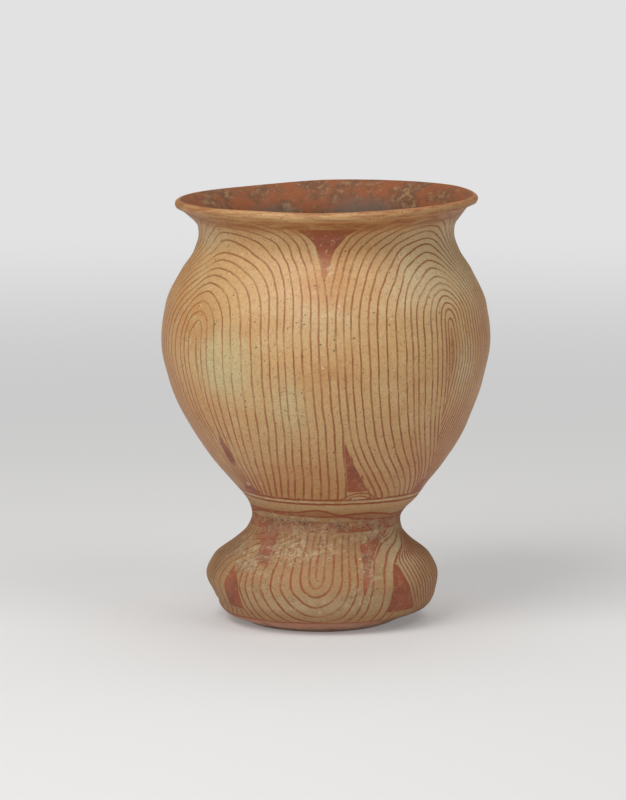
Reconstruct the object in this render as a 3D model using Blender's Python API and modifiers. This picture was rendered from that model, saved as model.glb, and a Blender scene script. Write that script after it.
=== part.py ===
"""Footed jar in painted earthenware, modelled as the clay pieces it was luted together from.

The jar was hand built: a hollow pedestal, a round-bottomed bowl and a stack of clay rings, each pressed
onto the bevelled edge of the one below, with luting coils in the angle between bowl and pedestal.
Every piece is a turned section; one cage then gives them all the same hand-made lean.

Lengths are in millimetres here and become metres in the mesh. +Z is up, and the origin lies at the middle
of the footprint, on the surface that the jar stands on.
"""
import math

import bpy
import numpy as np

MM = 0.001

# Outer face from the standing edge to the lip, as (height, radius)
OUTER_FACE = (
    (0.0, 52.0),     # standing edge
    (3.5, 59.0),
    (11.0, 70.4),    # base turned in under the bulb
    (20.0, 76.0),
    (31.0, 78.8),    # widest part of the pedestal bulb
    (43.0, 74.0),
    (55.0, 59.8),
    (63.0, 52.8),
    (71.0, 50.6),    # waist
    (78.0, 52.6),    # angle between bowl and pedestal
    (89.0, 61.2),
    (107.0, 75.8),
    (135.0, 94.4),
    (165.0, 106.8),
    (193.0, 111.8),  # belly
    (217.0, 108.9),
    (239.0, 98.9),
    (253.0, 89.8),
    (264.0, 86.3),   # neck
    (270.0, 87.0),
    (281.4, 97.0),
    (283.8, 101.0),  # end of the flare, under the rounded lip
)

# Clay thickness
BODY_WALL = 6.5
FOOT_WALL = 8.0

# Seams between neighbouring pieces, as heights on the outer face
BASE_SEAM = 13.5
BULB_SEAM = 33.0
STEM_SEAM = 55.0
FLOOR_SEAM = 82.0
LOWER_BOWL_SEAM = 125.0
BELLY_SEAM = 171.0
SHOULDER_SEAM = 212.0
NECK_SEAM = 247.0
LIP_SEAM = 273.0
SCARF = 6.0          # how far a bevelled seam climbs from its outer edge to its inner edge
SEAM_GAP = 0.45      # along the wall, which leaves about 0.3 across a bevelled seam
FIT_GAP = 0.3

# Standing flat and the hollow behind it
STANDING_INNER_RADIUS = 44.5
STANDING_EDGE_BREAK = 1.0
STANDING_WALL_HEIGHT = 5.0
STANDING_INNER_START = 13.0

# Round bottom of the bowl, and the coils luted below it
FLOOR_LOW = 63.0
FLOOR_CURVE = 93.0
FLOOR_THICKNESS = 8.0
FLOOR_INNER_RADIUS = 44.0
UNDERSIDE_RADIUS = 52.0
STEM_SHELF_RADIUS = 47.4
STEM_SHELF_HEIGHT = 67.5
STEM_INNER_RADIUS = 42.4
INNER_COIL_DROP = 8.5
INNER_COIL_REACH = 8.0
INNER_COIL_HOLLOW = 1.6

# Sampling
SEGMENTS = 48
OUTER_SPACING = 7.5
INNER_SPACING = 15.0
LIP_ARC_POINTS = 6
FLOOR_POINTS = 5
COIL_POINTS = 5
FINE_STEPS = 900

# Hand-made lean: sideways shift of the centre line at each cage layer, and the tilt of the rim
CAGE_WIDTH = 260.0
CAGE_LAYER = 50.0
CENTRE_SHIFTS = (-2.4, -2.6, 3.1, 0.3, 0.0, 0.6, 0.2)
RIM_TILT = 4.8

ROUGHNESS = 0.55


def landmark_slopes(heights: np.ndarray, radii: np.ndarray) -> np.ndarray:
    """Slope of the outer face at each landmark, level at every widest and narrowest place."""
    spans = np.diff(heights)
    grades = np.diff(radii) / spans
    slopes = np.empty_like(heights)
    slopes[0] = grades[0]
    slopes[-1] = grades[-1]
    for index in range(1, len(heights) - 1):
        below = grades[index - 1]
        above = grades[index]
        if below * above <= 0.0:
            slopes[index] = 0.0
            continue
        weight_below = spans[index - 1] + 2.0 * spans[index]
        weight_above = 2.0 * spans[index - 1] + spans[index]
        slopes[index] = (weight_below + weight_above) / (weight_below / above + weight_above / below)
    return slopes


class OuterFace:
    """Smooth curve through the landmarks, read by its length from the standing edge."""

    def __init__(self, landmarks: tuple) -> None:
        self.heights, self.radii = (np.array(column) for column in zip(*landmarks))
        self.slopes = landmark_slopes(self.heights, self.radii)
        self.fine_heights = np.linspace(self.heights[0], self.heights[-1], FINE_STEPS)
        self.fine_radii = np.array([self.radius(height) for height in self.fine_heights])
        steps = np.hypot(np.diff(self.fine_heights), np.diff(self.fine_radii))
        self.lengths = np.concatenate(([0.0], np.cumsum(steps)))

    def radius(self, height: float) -> float:
        """Radius of the outer face at a height."""
        index = int(np.clip(np.searchsorted(self.heights, height) - 1, 0, len(self.heights) - 2))
        span = self.heights[index + 1] - self.heights[index]
        t = (height - self.heights[index]) / span
        rise = self.radii[index] * (1.0 + 2.0 * t) * (1.0 - t) ** 2
        rise += self.slopes[index] * span * t * (1.0 - t) ** 2
        rise += self.radii[index + 1] * t * t * (3.0 - 2.0 * t)
        rise += self.slopes[index + 1] * span * t * t * (t - 1.0)
        return float(rise)

    def length_at(self, height: float) -> float:
        """Length along the face from the standing edge to a height."""
        return float(np.interp(height, self.fine_heights, self.lengths))

    def end(self) -> float:
        """Whole length of the face."""
        return float(self.lengths[-1])

    def normal(self, length: float) -> tuple:
        """Outward direction (radial, upward) of the face."""
        near = np.interp((length - 0.5, length + 0.5), self.lengths, self.fine_heights)
        far = np.interp((length - 0.5, length + 0.5), self.lengths, self.fine_radii)
        upward = near[1] - near[0]
        outward = far[1] - far[0]
        size = math.hypot(upward, outward)
        return upward / size, -outward / size

    def point(self, length: float, depth: float = 0.0) -> tuple:
        """Point (radius, height) at a length along the face and a depth inside it."""
        radius = float(np.interp(length, self.lengths, self.fine_radii))
        height = float(np.interp(length, self.lengths, self.fine_heights))
        normal = self.normal(length)
        return radius - depth * normal[0], height - depth * normal[1]

    def run(self, start: float, finish: float, depth: float = 0.0) -> list:
        """Evenly spaced points from one length to another."""
        spacing = INNER_SPACING if depth > 0.0 else OUTER_SPACING
        count = max(2, round(abs(finish - start) / spacing) + 1)
        return [self.point(length, depth) for length in np.linspace(start, finish, count)]


FACE = OuterFace(OUTER_FACE)


def underside(radius: float) -> float:
    """Height of the round underside of the bowl."""
    return FLOOR_LOW + radius * radius / (2.0 * FLOOR_CURVE)


def ring(low_seam: float, high_seam: float, wall: float) -> list:
    """Section of a clay ring with bevelled edges: down its outer face and up its inner face."""
    low = FACE.length_at(low_seam) + 0.5 * SEAM_GAP
    high = FACE.length_at(high_seam) - 0.5 * SEAM_GAP
    return FACE.run(high, low) + FACE.run(low + SCARF, high + SCARF, wall)


def standing_ring() -> list:
    """Section of the turned-in base, cut flat where it stands."""
    high = FACE.length_at(BASE_SEAM) - 0.5 * SEAM_GAP
    flat = [
        (STANDING_INNER_RADIUS + STANDING_EDGE_BREAK, 0.0),
        (STANDING_INNER_RADIUS, STANDING_EDGE_BREAK),
        (STANDING_INNER_RADIUS, STANDING_WALL_HEIGHT),
    ]
    return FACE.run(high, 0.0) + flat + FACE.run(STANDING_INNER_START, high + SCARF, FOOT_WALL)


def stem_collar() -> list:
    """Section of the waist, with a shelf for the outer luting coil and a top shaped to the bowl."""
    low = FACE.length_at(STEM_SEAM) + 0.5 * SEAM_GAP
    shelf = FACE.length_at(STEM_SHELF_HEIGHT)
    outer = [
        (STEM_SHELF_RADIUS, underside(STEM_SHELF_RADIUS) - FIT_GAP),
        (STEM_SHELF_RADIUS, STEM_SHELF_HEIGHT),
    ]
    inner = [(STEM_INNER_RADIUS, underside(STEM_INNER_RADIUS) - FIT_GAP)]
    return outer + FACE.run(shelf, low) + FACE.run(low + SCARF, shelf, FOOT_WALL) + inner


def outer_coil() -> list:
    """Section of the coil pressed into the angle between bowl and pedestal."""
    shelf = FACE.length_at(STEM_SHELF_HEIGHT) + FIT_GAP
    corner = FACE.length_at(underside(UNDERSIDE_RADIUS) - FIT_GAP)
    seat = STEM_SHELF_RADIUS + FIT_GAP
    inner = [
        (seat, STEM_SHELF_HEIGHT + FIT_GAP),
        (seat, underside(seat) - FIT_GAP),
    ]
    outer = [FACE.point(length) for length in np.linspace(corner, shelf, COIL_POINTS)]
    return outer + inner


def inner_coil() -> list:
    """Section of the coil smoothed into the corner under the bowl, with a hollow face."""
    outer_radius = STEM_INNER_RADIUS - FIT_GAP
    top = underside(outer_radius) - FIT_GAP
    tip_radius = outer_radius - INNER_COIL_REACH
    tip = underside(tip_radius) - FIT_GAP
    outline = [(outer_radius, top), (outer_radius, top - INNER_COIL_DROP)]
    for index in range(1, COIL_POINTS - 1):
        t = index / (COIL_POINTS - 1)
        hollow = INNER_COIL_HOLLOW * math.sin(math.pi * t)
        radius = outer_radius - INNER_COIL_REACH * t + hollow
        height = (top - INNER_COIL_DROP) * (1.0 - t) + tip * t + hollow
        outline.append((radius, height))
    outline.append((tip_radius, tip))
    return outline


def bowl_floor() -> list:
    """Section of the round bottom, from its middle out to the first seam and back below."""
    high = FACE.length_at(FLOOR_SEAM) - 0.5 * SEAM_GAP
    low = FACE.length_at(underside(UNDERSIDE_RADIUS))
    radii = np.linspace(0.0, FLOOR_INNER_RADIUS, FLOOR_POINTS)
    inner = [(radius, underside(radius) + FLOOR_THICKNESS) for radius in radii]
    edge = [FACE.point(high + SCARF, BODY_WALL), FACE.point(high), FACE.point(low)]
    below = [(radius, underside(radius)) for radius in np.linspace(FLOOR_INNER_RADIUS, 0.0, FLOOR_POINTS)]
    return inner + edge + below


def lip_coil() -> list:
    """Section of the everted lip, ending in a round edge."""
    low = FACE.length_at(LIP_SEAM) + 0.5 * SEAM_GAP
    normal = FACE.normal(FACE.end() - 1.0)
    centre = FACE.point(FACE.end(), 0.5 * BODY_WALL)
    start = math.atan2(normal[1], normal[0])
    arc = []
    for index in range(1, LIP_ARC_POINTS):
        angle = start + math.pi * index / LIP_ARC_POINTS
        radius = centre[0] + 0.5 * BODY_WALL * math.cos(angle)
        height = centre[1] + 0.5 * BODY_WALL * math.sin(angle)
        arc.append((radius, height))
    outer = FACE.run(FACE.end(), low)
    inner = FACE.run(low + SCARF, FACE.end(), BODY_WALL)
    return list(reversed(arc)) + outer + inner


def srgb(red: int, green: int, blue: int) -> tuple:
    """Linear colour of an sRGB value."""
    channels = (red / 255.0, green / 255.0, blue / 255.0)
    return tuple(((c + 0.055) / 1.055) ** 2.4 if c > 0.04045 else c / 12.92 for c in channels) + (1.0,)


BUFF = srgb(206, 162, 110)
RED_ON_BUFF = srgb(184, 132, 86)
RED_SLIP = srgb(152, 84, 60)
BARE_CLAY = srgb(168, 122, 84)

PIECES = {
    "standing_ring": (standing_ring(), RED_SLIP),
    "foot_bulb_lower": (ring(BASE_SEAM, BULB_SEAM, FOOT_WALL), RED_ON_BUFF),
    "foot_bulb_upper": (ring(BULB_SEAM, STEM_SEAM, FOOT_WALL), RED_ON_BUFF),
    "stem_collar": (stem_collar(), RED_SLIP),
    "outer_luting_coil": (outer_coil(), RED_ON_BUFF),
    "inner_luting_coil": (inner_coil(), BARE_CLAY),
    "bowl_floor": (bowl_floor(), BARE_CLAY),
    "lower_bowl_ring": (ring(FLOOR_SEAM, LOWER_BOWL_SEAM, BODY_WALL), RED_ON_BUFF),
    "upper_bowl_ring": (ring(LOWER_BOWL_SEAM, BELLY_SEAM, BODY_WALL), RED_ON_BUFF),
    "belly_ring": (ring(BELLY_SEAM, SHOULDER_SEAM, BODY_WALL), RED_ON_BUFF),
    "shoulder_ring": (ring(SHOULDER_SEAM, NECK_SEAM, BODY_WALL), RED_ON_BUFF),
    "neck_collar": (ring(NECK_SEAM, LIP_SEAM, BODY_WALL), BUFF),
    "lip_coil": (lip_coil(), BUFF),
}


def clear_scene() -> None:
    """Remove whatever the file held."""
    for leftover in list(bpy.data.objects):
        bpy.data.objects.remove(leftover, do_unlink=True)


def new_collection(name: str) -> bpy.types.Collection:
    """Collection linked to the scene."""
    collection = bpy.data.collections.new(name)
    bpy.context.scene.collection.children.link(collection)
    return collection


def lean_cage(collection: bpy.types.Collection) -> bpy.types.Object:
    """Cage that carries the jar's lean: its layers shift sideways and the top one tilts."""
    data = bpy.data.lattices.new("lean_cage")
    data.points_u = 2
    data.points_v = 2
    data.points_w = len(CENTRE_SHIFTS)
    data.interpolation_type_w = 'KEY_CARDINAL'
    cage = bpy.data.objects.new("lean_cage", data)
    cage.location.z = 0.5 * CAGE_LAYER * (len(CENTRE_SHIFTS) - 1) * MM
    cage.scale = (CAGE_WIDTH * MM, CAGE_WIDTH * MM, CAGE_LAYER * MM)
    cage.hide_render = True
    cage.display_type = 'WIRE'
    collection.objects.link(cage)
    points_per_layer = data.points_u * data.points_v
    for index, point in enumerate(data.points):
        layer = index // points_per_layer
        point.co_deform.x += CENTRE_SHIFTS[layer] / CAGE_WIDTH
        if layer == len(CENTRE_SHIFTS) - 1:
            point.co_deform.z += math.copysign(RIM_TILT / CAGE_LAYER, point.co.x)
    return cage


def clay(name: str, colour: tuple) -> bpy.types.Material:
    """Matt fired clay of one colour."""
    material = bpy.data.materials.new(name)
    material.use_nodes = True
    shader = material.node_tree.nodes["Principled BSDF"]
    shader.inputs["Base Color"].default_value = colour
    shader.inputs["Roughness"].default_value = ROUGHNESS
    shader.inputs["Metallic"].default_value = 0.0
    material.diffuse_color = colour
    return material


def turned(name: str, outline: list, colour: tuple) -> bpy.types.Object:
    """Object whose section turns about the jar's centre line.

    A section that starts and ends on the centre line is left open there; any other is closed.
    """
    points = [(radius * MM, 0.0, height * MM) for radius, height in outline]
    edges = [(index, index + 1) for index in range(len(points) - 1)]
    if outline[0][0] > 0.0:
        edges.append((len(points) - 1, 0))
    mesh = bpy.data.meshes.new(name)
    mesh.from_pydata(points, edges, [])
    mesh.materials.append(clay(name, colour))
    piece = bpy.data.objects.new(name, mesh)
    turn = piece.modifiers.new("turn", 'SCREW')
    turn.axis = 'Z'
    turn.steps = SEGMENTS
    turn.render_steps = SEGMENTS
    turn.use_merge_vertices = True
    turn.merge_threshold = 0.00001
    turn.use_smooth_shade = True
    return piece


def build() -> None:
    """Make every clay piece and give it the shared lean."""
    clear_scene()
    guides = new_collection("guides")
    jar = new_collection("painted_footed_jar")
    cage = lean_cage(guides)
    for name, (outline, colour) in PIECES.items():
        piece = turned(name, outline, colour)
        lean = piece.modifiers.new("lean", 'LATTICE')
        lean.object = cage
        jar.objects.link(piece)


build()
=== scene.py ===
"""Looks of the footed jar: burnished buff earthenware painted with red-brown whorls.

Every clay piece of the jar is turned again here as a fine mesh that follows the same outer face, seams and
lean as its solid. Each point of a mesh carries the plan of the painting as attributes: how many lines lie
between it and the core of its whorl, how deep it lies in a red field, where the jar is worn or crusted, and
where shade and sheen are painted into its colour. The material draws strokes, slip, clay, dirt and that
painted light from those.

Lengths are in millimetres and angles in degrees, unless a name says otherwise. A turn of 0 faces the camera
and grows to the right. The climb of a point is its distance from the standing edge along the outer face.
"""

import logging
import math
from dataclasses import dataclass, field
from enum import Enum
from typing import Any, NamedTuple, Sequence

import bmesh
import bpy
import numpy as np
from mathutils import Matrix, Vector, noise


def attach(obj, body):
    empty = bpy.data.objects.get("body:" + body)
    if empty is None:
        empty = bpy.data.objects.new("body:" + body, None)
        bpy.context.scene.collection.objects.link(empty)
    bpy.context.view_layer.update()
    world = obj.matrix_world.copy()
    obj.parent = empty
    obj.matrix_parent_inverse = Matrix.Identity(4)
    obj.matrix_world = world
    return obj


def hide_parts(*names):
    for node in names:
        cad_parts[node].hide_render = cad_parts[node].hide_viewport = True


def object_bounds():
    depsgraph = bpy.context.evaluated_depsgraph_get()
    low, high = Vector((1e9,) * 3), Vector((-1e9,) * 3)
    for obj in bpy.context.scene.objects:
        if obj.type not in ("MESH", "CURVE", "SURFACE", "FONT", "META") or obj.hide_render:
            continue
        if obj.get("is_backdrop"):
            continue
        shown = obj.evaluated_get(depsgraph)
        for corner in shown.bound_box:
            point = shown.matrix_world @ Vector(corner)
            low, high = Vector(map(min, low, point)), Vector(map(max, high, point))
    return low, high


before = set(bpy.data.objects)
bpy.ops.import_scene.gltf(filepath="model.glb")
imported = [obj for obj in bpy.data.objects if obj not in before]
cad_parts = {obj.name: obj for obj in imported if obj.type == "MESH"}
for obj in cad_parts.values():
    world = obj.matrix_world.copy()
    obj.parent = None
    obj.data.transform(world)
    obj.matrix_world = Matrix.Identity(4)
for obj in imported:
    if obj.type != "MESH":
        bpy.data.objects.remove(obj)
CAD_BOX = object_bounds()

MM = 0.001
LOG = logging.getLogger("footed_jar")

Span = tuple[float, float]
Pairs = Sequence[tuple[float, float]]
Blot = tuple[float, float, float, float, float]
Blots = tuple[Blot, ...]
Colour = tuple[float, float, float, float]

# Depth of a point outside every field, a distance longer than the jar, and room to number a whorl's lines
OUTSIDE = -20.0
FAR_AWAY = 1e6
NUMBERS_APART = 100.0


class SmoothCurve:
    """Smooth curve through a few points that never swings past them."""

    def __init__(self, points: Pairs) -> None:
        """Sort the points and work out the slope at each.

        Args:
            points: pairs of place and value.
        """
        ordered = sorted(points)
        self.places = np.array([place for place, _ in ordered], float)
        self.values = np.array([value for _, value in ordered], float)
        self.slopes = self._slopes()

    def _slopes(self) -> np.ndarray:
        """Slope at each point, level at every high and low place."""
        spans = np.diff(self.places)
        grades = np.diff(self.values) / spans
        slopes = np.empty_like(self.places)
        slopes[0] = grades[0]
        slopes[-1] = grades[-1]
        for index in range(1, len(slopes) - 1):
            below, above = grades[index - 1], grades[index]
            if below * above <= 0.0:
                slopes[index] = 0.0
                continue
            weight_below = spans[index - 1] + 2.0 * spans[index]
            weight_above = 2.0 * spans[index - 1] + spans[index]
            slopes[index] = (weight_below + weight_above) / (weight_below / above + weight_above / below)
        return slopes

    def __call__(self, where: np.ndarray) -> np.ndarray:
        """Values of the curve, held level past its ends.

        Args:
            where: places to read.

        Returns:
            One value for each place.
        """
        place = np.clip(where, self.places[0], self.places[-1])
        index = np.clip(np.searchsorted(self.places, place) - 1, 0, len(self.places) - 2)
        span = self.places[index + 1] - self.places[index]
        t = (place - self.places[index]) / span
        value = self.values[index] * (1.0 + 2.0 * t) * (1.0 - t) ** 2
        value = value + self.slopes[index] * span * t * (1.0 - t) ** 2
        value = value + self.values[index + 1] * t * t * (3.0 - 2.0 * t)
        return value + self.slopes[index + 1] * span * t * t * (t - 1.0)


def smooth_step(value: np.ndarray, low: float, high: float) -> np.ndarray:
    """Rise from 0 at low to 1 at high with level ends."""
    t = np.clip((value - low) / (high - low), 0.0, 1.0)
    return t * t * (3.0 - 2.0 * t)


def around(angle: np.ndarray) -> np.ndarray:
    """Angle brought to between -180 and 180."""
    return (angle + 180.0) % 360.0 - 180.0


def blot_strength(blot: Blot, turn: np.ndarray, climb: np.ndarray) -> np.ndarray:
    """Strength of a soft round blot.

    Args:
        blot: its turn and climb, its spread along both, and its strength in the middle.
        turn: turns of the points.
        climb: climbs of the points.

    Returns:
        One value for each point.
    """
    blot_turn, blot_climb, wide, tall, strength = blot
    distance = (around(turn - blot_turn) / wide) ** 2 + ((climb - blot_climb) / tall) ** 2
    return strength * np.exp(-0.5 * distance)


class Spot(NamedTuple):
    """Point of a turned section."""

    radius: float
    height: float
    climb: float
    inside: float


@dataclass
class OuterFace:
    """Outer face of the whole jar, read by height or by climb."""

    landmarks: Pairs = (
        (0.0, 52.0), (3.5, 59.0), (11.0, 70.4), (20.0, 76.0), (31.0, 78.8), (43.0, 74.0), (55.0, 59.8),
        (63.0, 52.8), (71.0, 50.6), (78.0, 52.6), (89.0, 61.2), (107.0, 75.8), (135.0, 94.4),
        (165.0, 106.8), (193.0, 111.8), (217.0, 108.9), (239.0, 98.9), (253.0, 89.8), (264.0, 86.3),
        (270.0, 87.0), (281.4, 97.0), (283.8, 101.0),
    )
    fine_steps: int = 1800
    outer_spacing: float = 1.7
    inner_spacing: float = 4.5
    seam_row: float = 0.15
    slope_reach: float = 0.5
    scarf: float = 6.0

    def __post_init__(self) -> None:
        """Measure the face along its length."""
        curve = SmoothCurve(self.landmarks)
        self.heights = np.linspace(curve.places[0], curve.places[-1], self.fine_steps)
        self.radii = curve(self.heights)
        steps = np.hypot(np.diff(self.heights), np.diff(self.radii))
        self.climbs = np.concatenate(([0.0], np.cumsum(steps)))
        self.end = float(self.climbs[-1])
        self.last_slope = self.end - 2.0 * self.slope_reach

    def climb_at(self, height: float) -> float:
        """Climb of a height on the outer face."""
        return float(np.interp(height, self.heights, self.climbs))

    def radius_at(self, climb: np.ndarray) -> np.ndarray:
        """Radius of the outer face at a climb."""
        return np.interp(climb, self.climbs, self.radii)

    def arc_at(self, climb: np.ndarray) -> np.ndarray:
        """Length of one degree round the jar at a climb."""
        return np.radians(1.0) * self.radius_at(climb)

    def normals(self, climb: np.ndarray) -> tuple[np.ndarray, np.ndarray]:
        """Outward direction of the face.

        Args:
            climb: climbs to read.

        Returns:
            The radial and the upward part of each direction.
        """
        ahead = climb + self.slope_reach
        behind = climb - self.slope_reach
        rise = np.interp(ahead, self.climbs, self.heights) - np.interp(behind, self.climbs, self.heights)
        out = np.interp(ahead, self.climbs, self.radii) - np.interp(behind, self.climbs, self.radii)
        size = np.hypot(rise, out)
        return rise / size, -out / size

    def spot(self, climb: float, depth: float = 0.0) -> Spot:
        """Section point at a climb and a depth inside the face."""
        radial, upward = self.normals(np.array([climb]))
        radius = float(np.interp(climb, self.climbs, self.radii) - depth * radial[0])
        height = float(np.interp(climb, self.climbs, self.heights) - depth * upward[0])
        return Spot(radius, height, climb, 1.0 if depth > 0.0 else 0.0)

    def run(self, start: float, finish: float, depth: float = 0.0) -> list[Spot]:
        """Evenly spaced section points, with a narrow row beside each end of an outer run.

        Args:
            start: climb of the first point.
            finish: climb of the last point.
            depth: distance inside the face.

        Returns:
            The points in order.
        """
        spacing = self.inner_spacing if depth > 0.0 else self.outer_spacing
        count = max(2, round(abs(finish - start) / spacing) + 1)
        places = list(np.linspace(start, finish, count))
        if depth == 0.0:
            row = math.copysign(self.seam_row, finish - start)
            places = [start, start + row, *places[1:-1], finish - row, finish]
        return [self.spot(float(place), depth) for place in places]

    def ring(self, low_seam: float, high_seam: float, wall: float) -> list[Spot]:
        """Section of a ring between two bevelled seams.

        Args:
            low_seam: height of the lower seam on the outer face.
            high_seam: height of the upper seam on the outer face.
            wall: thickness of the wall.

        Returns:
            The points in order, down the outer face and up the inner one.
        """
        low = self.climb_at(low_seam)
        high = self.climb_at(high_seam)
        return self.run(high, low) + self.run(low + self.scarf, high + self.scarf, wall)


FACE = OuterFace()


@dataclass(frozen=True)
class Flank:
    """One side of a whorl.

    Attributes:
        lines: turns at which its lines cross the reading height, from the core outwards.
        edge: path of its outermost line below the reading height, as pairs of climb and turn.
        bend: roundness of its arches, from 1 for pointed ones to 2 for round ones.
    """

    lines: tuple[float, ...]
    edge: Pairs
    bend: float = 2.0


@dataclass(frozen=True)
class Whorl:
    """Nested arches round a core, whose legs run down the jar as lines.

    Attributes:
        core: turn of the core.
        apexes: climbs at which the arches cross the core's axis, from the core outwards.
        left: flank on the left of the core.
        right: flank on the right of the core.
        seam: path below the core on which the two flanks meet, as pairs of climb and turn.
        blush: half width of the red field on the seam, as pairs of climb and width.
        gather: share of the lines that crowd together at the seam, where the others end on it.
    """

    core: float
    apexes: tuple[float, ...]
    left: Flank
    right: Flank
    seam: Pairs
    blush: Pairs
    gather: float = 0.4


@dataclass(frozen=True)
class Gore:
    """Strip where the flanks of two whorls meet, with a red triangle at its top and at its foot.

    Attributes:
        shift: turn by which it stands away from the front one.
        divide: path on which the lines change from one whorl's to the next, as pairs of climb and turn.
        left_count: lines of the left whorl up to the top triangle.
        right_count: lines of the right whorl up to the top triangle.
        foot_edge: path that bounds the foot triangle on its right, as pairs of climb and turn.
        foot_gap: distance between that path and the triangle.
        foot_lines: lines of the left whorl between the two triangles' left edges.
        top: climb at which the top triangle's tip may begin.
        foot: climb at which the foot triangle's tip may begin.
        arch: width of the small arch below it, as a share of the front one's.
    """

    shift: float
    divide: Pairs
    left_count: float
    right_count: float
    foot_edge: Pairs
    foot_gap: float = 4.8
    foot_lines: float = 1.05
    top: float = 284.0
    foot: float = 182.0
    arch: float = 1.0


def even_lines(core: float, edge: float, count: int) -> tuple[float, ...]:
    """Turns of evenly spaced lines from a core to an edge."""
    return tuple(float(turn) for turn in np.linspace(core, edge, count + 1))


def shifted(path: Pairs, turn: float) -> Pairs:
    """Path moved round the jar."""
    return tuple((climb, value + turn) for climb, value in path)


FRONT_LEFT_EDGE = (
    (250.0, 0.2), (220.0, 1.0), (200.0, 1.8), (180.0, 2.7), (160.0, 2.6), (140.0, 3.2), (118.0, 4.6),
)
FRONT_RIGHT_EDGE = (
    (250.0, 5.9), (220.0, 6.8), (200.0, 7.7), (180.0, 9.0), (160.0, 12.2), (140.0, 19.2), (130.0, 23.8),
    (118.0, 30.0),
)
FRONT_DIVIDE = (
    (336.0, 0.2), (296.0, 0.2), (280.0, 0.9), (264.0, 1.5), (238.0, 4.6), (220.0, 5.2), (200.0, 6.0),
    (180.0, 7.0), (160.0, 10.0), (140.0, 16.8), (130.0, 21.0), (118.0, 27.0),
)
STEEP_DIVIDE = (*FRONT_DIVIDE[:7], (180.0, 6.6), (160.0, 8.0), (140.0, 11.0), (130.0, 13.0), (118.0, 16.0))


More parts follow.
